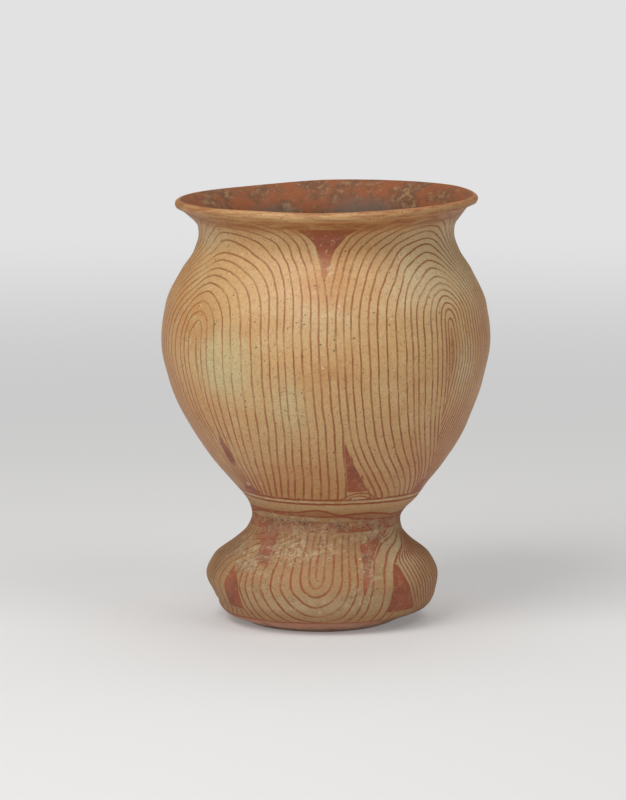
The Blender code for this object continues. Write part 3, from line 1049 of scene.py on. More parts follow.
@dataclass(frozen=True)
class BuffClay:
    """Burnished buff ground of the outside, with painted shade low down and painted sheen on the shoulders."""

    warm: Colour = srgb(209, 167, 113)
    orange: Colour = srgb(202, 150, 94)
    pale: Colour = srgb(214, 184, 133)
    cloud: Colour = srgb(204, 190, 142)
    # Pale colour of the pale band and the pale patches, painted sheen where the patches stand for a highlight
    pale_patch_and_sheen: Colour = srgb(212, 192, 152)
    # Darker rosy tone of those patches, painted shade where they darken the sides and the lower right
    rosy_and_shade: Colour = srgb(184, 126, 84)
    # Painted shade: the body darkens and reddens towards the bottom
    lower_body_shade: Colour = srgb(182, 132, 87)
    # Foot colour: its dirt together with painted shade under the bowl
    foot_dirt_and_shade: Colour = srgb(167, 129, 87)
    speck: Colour = srgb(82, 60, 40)
    chip: Colour = srgb(226, 202, 158)
    pale_band: Span = (115.6, 118.6)
    lower_shade_end: Span = (105.0, 215.0)
    foot_end: Span = (98.0, 118.0)

    def colour(self, graph: Graph, home: Value, climb: Value) -> Value:
        """Colour of the ground, with painted shade and painted sheen.

        Args:
            graph: tree to add to.
            home: place on the jar.
            climb: distance from the standing edge.

        Returns:
            The colour.
        """
        broad = graph.noise(home, 55.0, 3.0, 0.55)
        patch = graph.noise(home, 15.0, 4.0, 0.64)
        grain = graph.noise(home, 2.4, 4.0, 0.72)
        ground = graph.mix(broad.rise(0.42, 0.66), self.warm, self.orange)
        ground = graph.mix(patch.rise(0.50, 0.72) * 0.6, ground, self.pale)
        # Painted shade on the lower body, growing towards the bottom
        ground = graph.mix((1.0 - climb.rise(*self.lower_shade_end)) * 0.6, ground, self.lower_body_shade)
        # Foot darkened below foot_end: dirt together with painted shade under the bowl
        ground = graph.mix((1.0 - climb.rise(*self.foot_end)) * 0.85, ground, self.foot_dirt_and_shade)
        # Tints from blots: rosy patches, painted shade at the body's sides and lower right; pale patches,
        # painted sheen on the shoulders; fire clouds
        tints = (("rosy_patch_and_shade", self.rosy_and_shade, 0.6), ("pale_patch_and_sheen", self.pale_patch_and_sheen, 0.75), ("cloud", self.cloud, 0.8))
        for name, colour, cover in tints:
            strength = graph.number(name) * (0.45 + patch)
            ground = graph.mix(strength.rise(0.05, 1.05) * cover, ground, colour)
        low, high = self.pale_band
        band = climb.rise(low - 0.5, low + 0.5) * (1.0 - climb.rise(high - 0.5, high + 0.5))
        ground = graph.mix(band * patch.rise(0.35, 0.6) * 0.5, ground, self.pale_patch_and_sheen)
        chip, luck = graph.grains(graph.warp(home, 2.0, 1.5), 9.0)
        chipped = (1.0 - chip.rise(0.06, 0.13)) * luck.rise(0.74, 0.78)
        ground = graph.mix(chipped * 0.7, ground, self.chip)
        fine = graph.noise(home, 1.1, 2.0, 0.6)
        return graph.mix(1.0, ground, 0.58 + grain * 0.50 + fine * 0.34, 'MULTIPLY')

    def specks(self, graph: Graph, home: Value) -> Value:
        """Strength of the dark specks and small pits, which lie in loose clusters."""
        ragged = graph.warp(home, 1.6, 1.3)
        cluster = graph.noise(home, 24.0, 3.0, 0.65)
        distance, dice = graph.grains(ragged, 2.1)
        small = (1.0 - distance.rise(0.12, 0.28)) * (dice + cluster * 1.6).rise(1.20, 1.32)
        far, luck = graph.grains(ragged, 6.5)
        large = (1.0 - far.rise(0.06, 0.15)) * (luck + cluster * 1.2).rise(1.10, 1.16)
        scratch, odds = graph.grains(graph.stretch(ragged, (0.35, 0.35, 1.6)), 6.0)
        nick = (1.0 - scratch.rise(0.05, 0.12)) * odds.rise(0.80, 0.84)
        sand = graph.noise(home, 1.3, 2.0, 0.7).rise(0.56, 0.72) * 0.45
        return (small * dice.rise(0.1, 0.9) * 0.8).most(large * 0.9).most(nick * 0.6).most(sand)


@dataclass(frozen=True)
class RedSlip:
    """Red-brown slip of the strokes and fields."""

    brown: Colour = srgb(154, 92, 46)
    red: Colour = srgb(152, 76, 44)
    field_colour: Colour = srgb(162, 86, 56)
    dark: Colour = srgb(136, 70, 46)
    base: Colour = srgb(194, 138, 112)
    # Pale colour at the standing edge: rubbed slip, lightened as painted light against the shade under the base
    base_worn_and_lit: Colour = srgb(228, 186, 162)
    half_width: float = 0.62
    soft: float = 0.26
    base_top: float = 17.5
    broad_end: Span = (100.0, 190.0)
    red_end: Span = (110.0, 290.0)

    def strokes(self, graph: Graph, home: Value, climb: Value) -> tuple[Value, Value]:
        """Painted strokes.

        Args:
            graph: tree to add to.
            home: place on the jar.
            climb: distance from the standing edge.

        Returns:
            Cover of the counted strokes, and the wander of the brush in millimetres.
        """
        wander = (graph.noise(home, 24.0, 2.0, 0.5) - 0.5) * 1.6
        tremble = (graph.noise(home, 5.0, 2.0, 0.6) - 0.5) * 0.5
        stray = wander + tremble
        on_left = (graph.number("side") + stray).rise(-0.05, 0.05)
        right = graph.number("line_right")
        left = graph.number("line_left")
        count = right + (left - right) * on_left + stray * 0.18
        index = round(count)
        dice = graph.chance(index)
        press = graph.noise(home, 12.0, 2.0, 0.5) - 0.5
        low = 1.0 - climb.rise(*self.broad_end)
        half = self.half_width + press * 0.45 + (dice - 0.5) * 0.16 + low * 0.14
        crowd = graph.number("crowd")
        half = (half * crowd).least(0.34)
        soft = self.soft * crowd
        cover = 1.0 - abs(count - index).rise(half - soft, half + soft)
        thin = graph.noise(home, 22.0, 3.0, 0.6).rise(0.44, 0.68) * 0.4
        breaks = graph.noise(home, 2.6, 3.0, 0.65).rise(0.54, 0.70) * 0.5
        flow = 1.0 - thin - breaks - dice * 0.2 - graph.number("cloud") * 0.3 - crowd.rise(0.55, 1.0) * 0.4
        return cover * flow.most(0.15), stray

    def colour(self, graph: Graph, home: Value, climb: Value, depth: Value) -> Value:
        """Colour of the slip.

        Args:
            graph: tree to add to.
            home: place on the jar.
            climb: distance from the standing edge.
            depth: depth in the red fields.

        Returns:
            Brown strokes that redden down the jar, red fields, and the rubbed slip of the base, paler with
            painted light at its edge.
        """
        tone = graph.noise(home, 14.0, 4.0, 0.6)
        redness = 1.0 - (climb + (tone - 0.5) * 220.0).rise(*self.red_end)
        stroke = graph.mix(redness, self.brown, self.red)
        shade = graph.mix(tone.rise(0.42, 0.66), self.field_colour, self.dark)
        slip = graph.mix(depth.rise(0.2, 1.0), stroke, shade)
        # Towards the standing edge the base turns pale: rubbed slip and painted light against the shade
        # underneath
        base = graph.mix((climb + (tone - 0.5) * 16.0).rise(4.0, 15.0), self.base_worn_and_lit, self.base)
        base = graph.mix(tone.rise(0.50, 0.66) * 0.35, base, self.field_colour)
        return graph.mix(1.0 - climb.rise(self.base_top - 3.0, self.base_top + 1.5), slip, base)


@dataclass(frozen=True)
class OldCrust:
    """Pale and grey burial crust on the pedestal and in the angle above it."""

    pale: Colour = srgb(210, 192, 154)
    grey: Colour = srgb(142, 126, 102)
    dark: Colour = srgb(80, 66, 54)

    def layer(self, graph: Graph, home: Value, strength: Value) -> tuple[Value, Value]:
        """Crust.

        Args:
            graph: tree to add to.
            home: place on the jar.
            strength: how much of it there is.

        Returns:
            Its colour and its cover.
        """
        broad = graph.noise(home, 7.0, 4.0, 0.7)
        flakes = graph.noise(home, 2.0, 3.0, 0.7)
        tone = graph.noise(home, 3.4, 3.0, 0.65)
        dots = graph.noise(home, 1.6, 2.0, 0.6)
        soil = (dots + strength * 0.05).rise(0.61, 0.69) * 0.5
        colour = graph.mix(tone.rise(0.45, 0.60), self.pale, self.grey)
        colour = graph.mix(soil.rise(0.1, 0.5), colour, self.dark)
        film = (broad + strength * 0.2).rise(0.50, 0.76) * 0.42
        grains = (flakes * 0.6 + broad * 0.4 + strength * 0.12).rise(0.58, 0.68) * 0.62
        return colour, film.most(grains).most(soil) * strength.rise(0.06, 0.42)


@dataclass(frozen=True)
class InsideClay:
    """Inside of the jar: worn red slip at the mouth, smoked clay below."""

    slip: Colour = srgb(142, 79, 40)
    slip_dark: Colour = srgb(108, 69, 42)
    clay: Colour = srgb(150, 118, 90)
    soot_and_shade: Colour = srgb(102, 88, 74)
    scuff: Colour = srgb(174, 134, 90)
    silt: Colour = srgb(176, 152, 120)
    silt_reach: Span = (72.0, 130.0)
    slip_end: float = 258.0

    def colour(self, graph: Graph, home: Value, height: Value) -> Value:
        """Colour of the inside.

        Args:
            graph: tree to add to.
            home: place on the jar.
            height: height on the jar in millimetres.

        Returns:
            The colour.
        """
        blotch = graph.noise(home, 18.0, 4.0, 0.65)
        grain = graph.noise(home, 2.6, 4.0, 0.72)
        flakes = graph.noise(home, 5.0, 5.0, 0.75)
        slip = graph.mix(blotch.rise(0.42, 0.60), self.slip, self.slip_dark)
        rubbed = (flakes * 0.55 + blotch * 0.45).rise(0.50, 0.64)
        slip = graph.mix(rubbed * 0.7, slip, self.scuff)
        smoked = (graph.number("soot_and_shade") * (0.5 + flakes) + blotch * 0.3 - 0.15).rise(0.15, 0.75)
        slip = graph.mix(smoked * 0.8, slip, self.soot_and_shade)
        wiped = graph.noise(graph.stretch(home, (0.12, 0.12, 1.0)), 4.0, 3.0, 0.6)
        smoke = graph.noise(home, 42.0, 4.0, 0.6)
        bare = graph.mix((wiped * 0.4 + smoke * 0.6).rise(0.40, 0.62), self.clay, self.soot_and_shade)
        silted = (1.0 - height.rise(*self.silt_reach)) * (blotch * 0.6 + flakes * 0.4).rise(0.44, 0.60)
        bare = graph.mix(silted * 0.6, bare, self.silt)
        worn = (blotch * 0.5 + flakes * 0.5 + (self.slip_end - height) * 0.02).rise(0.5, 0.7)
        colour = graph.mix(worn, slip, bare)
        return graph.mix(1.0, colour, 0.7 + grain * 0.6, 'MULTIPLY')


@dataclass(frozen=True)
class PaintedClay:
    """The jar's one material, from its clay, slip, crust and inside."""

    buff: BuffClay = BuffClay()
    slip: RedSlip = RedSlip()
    crust: OldCrust = OldCrust()
    inside: InsideClay = InsideClay()
    line_low: float = 120.0
    line_high: float = 330.0
    foot_low: float = 18.0
    foot_high: float = 89.0
    rings: Pairs = ((119.2, 1.0), (115.0, 0.95), (18.0, 0.8))
    inner_arch: float = 3.2
    belly_end: Span = (270.0, 284.0)
    neck_start: Span = (290.0, 312.0)
    stem_start: Span = (84.0, 92.0)
    stem_end: Span = (99.0, 106.0)
    wash_start: Span = (317.0, 329.0)
    wash_end: Span = (333.5, 336.0)
    edge_start: Span = (334.5, 337.0)
    crest_start: Span = (341.0, 344.0)
    grime_and_shade_end: Span = (120.0, 140.0)
    dull_end: Span = (104.0, 124.0)
    scuff: Colour = srgb(222, 208, 182)
    # Dark colour of dirt on the pedestal, and of painted shade on the base
    grime_and_shade: Colour = srgb(112, 88, 66)

    def _painting(self, graph: Graph, home: Value, climb: Value) -> tuple[Value, Value]:
        """Cover of everything painted, and the depth in the red fields.

        Args:
            graph: tree to add to.
            home: place on the jar.
            climb: distance from the standing edge.

        Returns:
            Cover of strokes and fields, and the depth in the fields with the brush's wander.
        """
        cover, stray = self.slip.strokes(graph, home, climb)
        bowl = climb.rise(self.line_low - 0.5, self.line_low + 0.5)
        bowl = bowl * (1.0 - climb.rise(self.line_high - 4.0, self.line_high + 4.0))
        bowl = bowl * (1.0 - graph.number("bare").rise(-0.3, 0.5))
        foot = climb.rise(self.foot_low - 1.0, self.foot_low + 1.0)
        foot = foot * (1.0 - climb.rise(self.foot_high - 2.0, self.foot_high + 2.0))
        cover = cover * bowl.most(foot)
        rub = graph.noise(home, 3.4, 4.0, 0.7)
        for height, half in self.rings:
            ring = 1.0 - abs(climb - height + stray * 1.1).rise(half - 0.35, half + 0.35)
            cover = cover.most(ring * (1.0 - rub.rise(0.52, 0.70) * 0.55))
        high = graph.number("wave_high") + stray * 1.1
        low = graph.number("wave_low") + stray * 1.1
        brow = graph.number("brow") + stray * 0.4
        under = climb.rise(self.line_low - 2.0, self.line_low - 1.0)
        for wave, half in ((high, 0.95), (low, 0.9), (brow, 0.65), (brow + self.inner_arch * under, 0.5)):
            band = 1.0 - abs(wave).rise(half - 0.4, half + 0.4)
            cover = cover.most(band * (0.95 - rub.rise(0.54, 0.72) * 0.5))
        cover = cover.most((0.0 - high).least(low).rise(-0.2, 0.6) * 0.4)
        depth = graph.number("fill") + stray * 0.5
        neck = climb.rise(*self.neck_start).most(1.0 - climb.rise(*self.belly_end)) * 0.4 + 0.58
        stem = climb.rise(*self.stem_start) * (1.0 - climb.rise(*self.stem_end))
        patches = graph.noise(graph.stretch(home, (1.0, 1.0, 1.6)), 13.0, 4.0, 0.65)
        rub = rub + stem * (patches.rise(0.42, 0.60) * 0.22)
        solid = neck - rub.rise(0.52, 0.70) * 0.6
        return cover.most(depth.rise(-0.25, 0.25) * solid), depth

    def _lip(self, graph: Graph, home: Value, climb: Value, colour: Value) -> Value:
        """Brown wash under the lip, and its bare rubbed edge.

        Args:
            graph: tree to add to.
            home: place on the jar.
            climb: distance from the standing edge.
            colour: colour below.

        Returns:
            The colour with the wash.
        """
        streaks = graph.noise(graph.stretch(home, (0.15, 0.15, 1.0)), 2.6, 4.0, 0.65)
        under = climb.rise(*self.wash_start) * (1.0 - climb.rise(*self.wash_end))
        colour = graph.mix(under * (0.45 + streaks.rise(0.40, 0.62) * 0.45), colour, self.slip.brown)
        edge = climb.rise(*self.edge_start)
        colour = graph.mix(edge * 0.8, colour, self.buff.warm)
        # Brown also where the rosy patches lie at the ends of the lip, painted shade there
        washed = climb.rise(*self.crest_start) * 0.45 + graph.number("rosy_patch_and_shade") * 0.45
        washed = washed + streaks.rise(0.44, 0.60) * 0.45
        return graph.mix(edge * washed.least(0.85), colour, self.slip.brown)

    def material(self) -> bpy.types.Material:
        """Make the material.

        Returns:
            The material, which reads the attributes of the pieces.
        """
        graph = Graph("painted_clay")
        home = graph.place("home")
        climb = graph.number("climb")
        inner = graph.number("inside")
        split = graph.node("ShaderNodeSeparateXYZ", None, {0: home})
        height = Value(graph, split.outputs[2]) * (1.0 / MM)
        ground = self.buff.colour(graph, home, climb)
        painted, depth = self._painting(graph, home, climb)
        outside = graph.mix(painted, ground, self.slip.colour(graph, home, climb, depth))
        outside = self._lip(graph, home, climb, outside)
        specks = self.buff.specks(graph, home)
        outside = graph.mix(specks * 0.8, outside, self.buff.speck)
        flakes = graph.noise(home, 2.4, 4.0, 0.72)
        scuffed = (graph.number("scuff") * 0.5 + flakes * 1.1 - 0.3).rise(0.38, 0.62)
        outside = graph.mix(scuffed * graph.number("scuff").rise(0.05, 0.5) * 0.65, outside, self.scuff)
        smear = graph.noise(home, 7.0, 4.0, 0.65)
        # Dirt low on the jar, together with painted shade on the base where the dark blots lie
        soiled_and_shaded = graph.number("soot_and_shade") * (smear * 1.8 - 0.4 + flakes * 0.6)
        grime_and_shade = soiled_and_shaded.rise(0.25, 0.8) * (1.0 - climb.rise(*self.grime_and_shade_end))
        outside = graph.mix(grime_and_shade * 0.7, outside, self.grime_and_shade)
        crust_colour, crust_cover = self.crust.layer(graph, home, graph.number("crust"))
        outside = graph.mix(crust_cover, outside, crust_colour)
        colour = graph.mix(inner.rise(0.80, 0.93), outside, self.inside.colour(graph, home, height))
        gloss = graph.noise(home, 12.0, 3.0, 0.6)
        dull = (1.0 - climb.rise(*self.dull_end)) * 0.16
        rough = 0.46 + gloss * 0.16 + crust_cover * 0.3 + inner * 0.2 + dull
        pitted = graph.noise(home, 1.6, 3.0, 0.6) * 0.35 + graph.noise(home, 7.0, 3.0, 0.5) * 0.65
        relief = pitted - specks * 0.5 + crust_cover * 0.9
        bump = graph.node("ShaderNodeBump", None, {"Strength": 0.45, "Distance": 0.35 * MM, "Height": relief})
        shader = graph.node("ShaderNodeBsdfPrincipled", None, {
            "Base Color": colour,
            "Roughness": rough,
            "Normal": Value(graph, bump.outputs[0]),
        })
        graph.node("ShaderNodeOutputMaterial", None, {"Surface": Value(graph, shader.outputs[0])})
        return graph.material


@dataclass
class HandMarks:
    """Unevenness that the potter's hands left, as movements of points along the outer face's normal."""

    paddling: float = 0.36
    paddle_size: float = 46.0
    dents: float = 0.14
    dent_size: float = 11.0
    bias: float = 0.35
    belly: float = 111.8
    rim_start: float = 262.0
    rim_end: float = 284.0
    rim_top: float = 0.9
    rim_rise: Pairs = (
        (-180.0, 1.6), (-144.0, 0.0), (-112.0, 0.6), (-90.0, 0.9), (-60.0, 1.2), (-30.0, 1.3), (0.0, 0.1),
        (30.0, 0.2), (45.0, 0.3), (60.0, 0.2), (90.0, 0.1), (120.0, 1.1), (140.0, 1.2), (160.0, 1.4),
        (180.0, 1.6),
    )
    base_end: float = 12.0
    base_rise: Pairs = (
        (-180.0, 0.0), (0.0, 0.0), (30.0, 0.4), (60.0, 1.6), (90.0, 2.2), (125.0, 0.8), (150.0, 0.0),
        (180.0, 0.0),
    )
    lip_dents: float = 0.5
    lip_dent_size: float = 7.0
    lip_start: float = 326.0
    lip_end: float = 335.0
    level_end: float = 4.0
    bulges: Blots = (
        (78.0, 110.0, 30.0, 8.0, 2.2), (-88.0, 113.0, 30.0, 5.0, -0.7), (-90.0, 146.0, 30.0, 10.0, 1.1),
        (-82.0, 24.7, 34.0, 1.4, -1.0), (-85.0, 31.0, 30.0, 6.0, -1.8), (-85.0, 14.0, 30.0, 5.0, 1.6),
        (88.0, 25.0, 34.0, 8.0, 2.1), (90.0, 52.0, 35.0, 14.0, 0.9),
        (-90.0, 308.0, 30.0, 8.0, 0.8), (90.0, 332.0, 35.0, 5.0, -1.6),
    )

    def outward(self, home: np.ndarray, turn: np.ndarray, climb: np.ndarray) -> np.ndarray:
        """Movement of outer points along the face's normal.

        Args:
            home: places of the points.
            turn: turns of the points.
            climb: climbs of the points.

        Returns:
            A movement for each point, mostly inwards so that the jar keeps its size.
        """
        moved = self.paddling * (self._unevenness(home, self.paddle_size) - self.bias)
        moved += self.dents * (self._unevenness(home, self.dent_size) - self.bias)
        lip = smooth_step(climb, self.lip_start, self.lip_end)
        moved += self.lip_dents * lip * (self._unevenness(home, self.lip_dent_size) - self.bias)
        for bulge in self.bulges:
            moved += blot_strength(bulge, turn, climb)
        room = np.maximum(self.belly - FACE.radius_at(climb), 0.0)
        return np.minimum(moved, room) * smooth_step(climb, 0.0, self.level_end)

    @staticmethod
    def _unevenness(home: np.ndarray, size: float) -> np.ndarray:
        """Noise between -1 and 1, with features of a size."""
        return np.array([noise.noise(Vector(place / size)) for place in home])

    def upward(self, home: np.ndarray, turn: np.ndarray) -> np.ndarray:
        """Movement of points up and down, at the rim and at the worn side of the base."""
        rise = SmoothCurve(self.rim_rise)(turn) - self.rim_top
        worn = SmoothCurve(self.base_rise)(turn) * (1.0 - smooth_step(home[:, 2], 0.0, self.base_end))
        return rise * smooth_step(home[:, 2], self.rim_start, self.rim_end) + worn


@dataclass
class LeanCage:
    """Cage that carries the jar's hand-made lean and the tilt of its rim."""

    width: float = 260.0
    layer: float = 50.0
    shifts: tuple[float, ...] = (-2.4, -2.6, 3.1, 0.3, 0.0, 0.6, 0.2)
    tilt: float = 4.8

    def make(self) -> bpy.types.Object:
        """Make the cage.

        Returns:
            The cage, linked to the scene.
        """
        data = bpy.data.lattices.new("lean_cage")
        data.points_u = 2
        data.points_v = 2
        data.points_w = len(self.shifts)
        data.interpolation_type_w = 'KEY_CARDINAL'
        cage = bpy.data.objects.new("lean_cage", data)
        cage.location.z = 0.5 * self.layer * (len(self.shifts) - 1) * MM
        cage.scale = (self.width * MM, self.width * MM, self.layer * MM)
        bpy.context.scene.collection.objects.link(cage)
        per_layer = data.points_u * data.points_v
        for index, point in enumerate(data.points):
            layer = index // per_layer
            point.co_deform.x += self.shifts[layer] / self.width
            if layer == len(self.shifts) - 1:
                point.co_deform.z += math.copysign(self.tilt / self.layer, point.co.x)
        bpy.context.view_layer.update()
        return cage


@dataclass
class Workshop:
    """What every clay piece is made with."""

    story: JarStory
    marks: HandMarks
    cage: bpy.types.Object
    finish: bpy.types.Material
    steps: int = 360
    crease: float = math.radians(38.0)
    weld: float = 1e-7

    def _turned(self, section: Sequence[Spot]) -> bpy.types.Mesh:
        """Turn a section about the jar's centre line.

        Args:
            section: points of the section; one that starts on the centre line is left open there.

        Returns:
            A closed mesh whose points keep their climb and side.
        """
        shape = bmesh.new()
        climb = shape.verts.layers.float.new("climb")
        inside = shape.verts.layers.float.new("inside")
        verts = []
        for spot in section:
            vert = shape.verts.new((0.0, -spot.radius * MM, spot.height * MM))
            vert[climb] = spot.climb
            vert[inside] = spot.inside
            verts.append(vert)
        edges = [shape.edges.new(pair) for pair in zip(verts, verts[1:])]
        if section[0].radius > 0.0:
            edges.append(shape.edges.new((verts[-1], verts[0])))
        bmesh.ops.spin(shape, geom=verts + edges, cent=(0.0, 0.0, 0.0), axis=(0.0, 0.0, 1.0),
                       angle=math.tau, steps=self.steps, use_merge=True)
        bmesh.ops.remove_doubles(shape, verts=shape.verts, dist=self.weld)
        bmesh.ops.recalc_face_normals(shape, faces=shape.faces)
        for face in shape.faces:
            face.smooth = True
        for edge in shape.edges:
            edge.smooth = edge.calc_face_angle(0.0) < self.crease
        mesh = bpy.data.meshes.new("turned")
        shape.to_mesh(mesh)
        shape.free()
        return mesh

    def _mark(self, mesh: bpy.types.Mesh) -> None:
        """Give the points their plan of the painting and the unevenness of hand work."""
        count = len(mesh.vertices)
        flat = np.empty(count * 3)
        mesh.vertices.foreach_get("co", flat)
        home = flat.reshape(-1, 3) / MM
        climb = np.empty(count)
        mesh.attributes["climb"].data.foreach_get("value", climb)
        inside = np.empty(count)
        mesh.attributes["inside"].data.foreach_get("value", inside)
        turn = np.degrees(np.arctan2(home[:, 0], -home[:, 1]))
        for name, values in self.story.fields(turn, climb).items():
            attribute = mesh.attributes.new(name, 'FLOAT', 'POINT')
            attribute.data.foreach_set("value", values.astype(np.float32))
        attribute = mesh.attributes.new("home", 'FLOAT_VECTOR', 'POINT')
        attribute.data.foreach_set("vector", (home * MM).astype(np.float32).ravel())
        radial, upward = FACE.normals(np.minimum(climb, FACE.last_slope))
        out = self.marks.outward(home, turn, climb) * (1.0 - smooth_step(inside, 0.0, 1.0))
        direction = np.radians(turn)
        moved = home.copy()
        moved[:, 0] += out * radial * np.sin(direction)
        moved[:, 1] -= out * radial * np.cos(direction)
        moved[:, 2] += out * upward + self.marks.upward(home, turn)
        mesh.vertices.foreach_set("co", (moved * MM).ravel())

    def piece(self, name: str, section: Sequence[Spot]) -> None:
        """Make a finished clay piece, at the origin with its place in its mesh.

        Args:
            name: name of the solid that the piece stands for.
            section: points of its section.
        """
        mesh = self._turned(section)
        self._mark(mesh)
        made = bpy.data.objects.new(name + "_clay", mesh)
        bpy.context.scene.collection.objects.link(made)
        lean = made.modifiers.new("lean", 'LATTICE')
        lean.object = self.cage
        graph = bpy.context.evaluated_depsgraph_get()
        leaning = bpy.data.meshes.new_from_object(made.evaluated_get(graph))
        made.modifiers.clear()
        made.data = leaning
        leaning.name = made.name
        leaning.materials.clear()
        leaning.materials.append(self.finish)
        bpy.data.meshes.remove(mesh)
        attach(made, "root")
        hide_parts(name)
        LOG.info("%s: %d points", made.name, len(leaning.vertices))


@dataclass
class Pedestal:
    """Hollow foot: a turned-in standing ring, two rings of the bulb and the collar of the waist."""

    wall: float = 8.0
    base_seam: float = 13.5
    bulb_seam: float = 33.0
    stem_seam: float = 55.0
    shelf_radius: float = 47.4
    shelf_height: float = 67.5
    inner_radius: float = 42.4
    standing_radius: float = 44.5
    standing_break: float = 1.0
    standing_wall: float = 5.0
    standing_start: float = 13.0
    rubbed_radius: float = 48.0
    rubbed_inside: float = 0.6

    def standing_ring(self) -> list[Spot]:
        """Section of the turned-in base, flat where it stands."""
        high = FACE.climb_at(self.base_seam)
        flat = [
            Spot(self.rubbed_radius, 0.0, 0.0, self.rubbed_inside),
            Spot(self.standing_radius + self.standing_break, 0.0, 0.0, 1.0),
            Spot(self.standing_radius, self.standing_break, 0.0, 1.0),
            Spot(self.standing_radius, self.standing_wall, 0.0, 1.0),
        ]
        return FACE.run(high, 0.0) + flat + FACE.run(self.standing_start, high + FACE.scarf, self.wall)

    def stem_collar(self, joint: "LutedJoint") -> list[Spot]:
        """Section of the waist, with a shelf for the outer coil and a top shaped to the bowl."""
        low = FACE.climb_at(self.stem_seam)
        shelf = FACE.climb_at(self.shelf_height)
        outer = [
            Spot(self.shelf_radius, joint.underside(self.shelf_radius), shelf, 1.0),
            Spot(self.shelf_radius, self.shelf_height, shelf, 1.0),
        ]
        inner = [Spot(self.inner_radius, joint.underside(self.inner_radius), shelf, 1.0)]
        return outer + FACE.run(shelf, low) + FACE.run(low + FACE.scarf, shelf, self.wall) + inner

    def build(self, shop: Workshop, joint: "LutedJoint") -> None:
        """Make the pieces from the ground up."""
        shop.piece("standing_ring", self.standing_ring())
        shop.piece("foot_bulb_lower", FACE.ring(self.base_seam, self.bulb_seam, self.wall))
        shop.piece("foot_bulb_upper", FACE.ring(self.bulb_seam, self.stem_seam, self.wall))
        shop.piece("stem_collar", self.stem_collar(joint))


@dataclass
class LutedJoint:
    """Coils that join the round bottom of the bowl to the pedestal."""

    floor_low: float = 63.0
    floor_curve: float = 93.0
    corner_radius: float = 52.0
    coil_points: int = 12
    drop: float = 8.5
    reach: float = 8.0
    hollow: float = 1.6
    inner_climb: float = 90.0

    def underside(self, radius: float) -> float:
        """Height of the round underside of the bowl."""
        return self.floor_low + radius * radius / (2.0 * self.floor_curve)

    def outer_coil(self, pedestal: Pedestal) -> list[Spot]:
        """Section of the coil pressed into the angle outside."""
        shelf = FACE.climb_at(pedestal.shelf_height)
        corner = FACE.climb_at(self.underside(self.corner_radius))
        inner = [
            Spot(pedestal.shelf_radius, pedestal.shelf_height, shelf, 1.0),
            Spot(pedestal.shelf_radius, self.underside(pedestal.shelf_radius), corner, 1.0),
        ]
        return FACE.run(corner, shelf) + inner

    def inner_coil(self, pedestal: Pedestal) -> list[Spot]:
        """Section of the coil smoothed into the corner inside, with a hollow face."""
        radius = pedestal.inner_radius
        top = self.underside(radius)
        tip_radius = radius - self.reach
        tip = self.underside(tip_radius)
        outline = [Spot(radius, top, self.inner_climb, 1.0)]
        for index in range(self.coil_points + 1):
            t = index / self.coil_points
            hollow = self.hollow * math.sin(math.pi * t)
            height = (top - self.drop) * (1.0 - t) + tip * t + hollow
            outline.append(Spot(radius - self.reach * t + hollow, height, self.inner_climb, 1.0))
        return outline

    def build(self, shop: Workshop, pedestal: Pedestal) -> None:
        """Make both coils."""
        shop.piece("outer_luting_coil", self.outer_coil(pedestal))
        shop.piece("inner_luting_coil", self.inner_coil(pedestal))


@dataclass
class Bowl:
    """Round floor and the four rings that rise from it to the neck."""

    wall: float = 6.5
    floor_thickness: float = 8.0
    floor_inner_radius: float = 44.0
    floor_points: int = 14
    seams: tuple[float, ...] = (82.0, 125.0, 171.0, 212.0, 247.0)
    names: tuple[str, ...] = ("lower_bowl_ring", "upper_bowl_ring", "belly_ring", "shoulder_ring")

    def floor(self, joint: LutedJoint) -> list[Spot]:
        """Section of the round bottom, from its middle out to the first seam and back below."""
        high = FACE.climb_at(self.seams[0])
        low = FACE.climb_at(joint.underside(joint.corner_radius))
        radii = np.linspace(0.0, self.floor_inner_radius, self.floor_points)
        inner = [Spot(float(r), joint.underside(float(r)) + self.floor_thickness, high, 1.0) for r in radii]
        below = [Spot(float(r), joint.underside(float(r)), low, 1.0) for r in radii[::-1]]
        return inner + [FACE.spot(high + FACE.scarf, self.wall)] + FACE.run(high, low) + below

    def build(self, shop: Workshop, joint: LutedJoint) -> None:
        """Make the pieces from the floor up."""
        shop.piece("bowl_floor", self.floor(joint))
        for name, low, high in zip(self.names, self.seams, self.seams[1:]):
            shop.piece(name, FACE.ring(low, high, self.wall))


@dataclass
class Mouth:
    """Neck collar and the everted lip."""

    wall: float = 6.5
    neck_seam: float = 247.0
    lip_seam: float = 273.0
    edge_wall: float = 6.4
    arc_points: int = 14
    inner_points: int = 5

    def lip(self) -> list[Spot]:
        """Section of the lip, which thins from the inside and ends in a round edge."""
        low = FACE.climb_at(self.lip_seam)
        radial, upward = FACE.normals(np.array([FACE.last_slope]))
        centre = FACE.spot(FACE.end, 0.5 * self.edge_wall)
        start = math.atan2(upward[0], radial[0])
        arc = []
        for index in range(1, self.arc_points):
            share = index / self.arc_points
            angle = start + math.pi * share
            radius = centre.radius + 0.5 * self.edge_wall * math.cos(angle)
            height = centre.height + 0.5 * self.edge_wall * math.sin(angle)
            arc.append(Spot(radius, height, FACE.end + 0.5 * math.pi * self.edge_wall * share, share))
        outer = FACE.run(FACE.end, low)
        climbs = np.linspace(low + FACE.scarf, FACE.end, self.inner_points)
        walls = np.linspace(self.wall, self.edge_wall, self.inner_points)
        inner = [FACE.spot(float(climb), float(wall)) for climb, wall in zip(climbs, walls)]
        return arc[::-1] + outer + inner

    def build(self, shop: Workshop) -> None:
        """Make the collar and the lip."""
        shop.piece("neck_collar", FACE.ring(self.neck_seam, self.lip_seam, self.wall))
        shop.piece("lip_coil", self.lip())


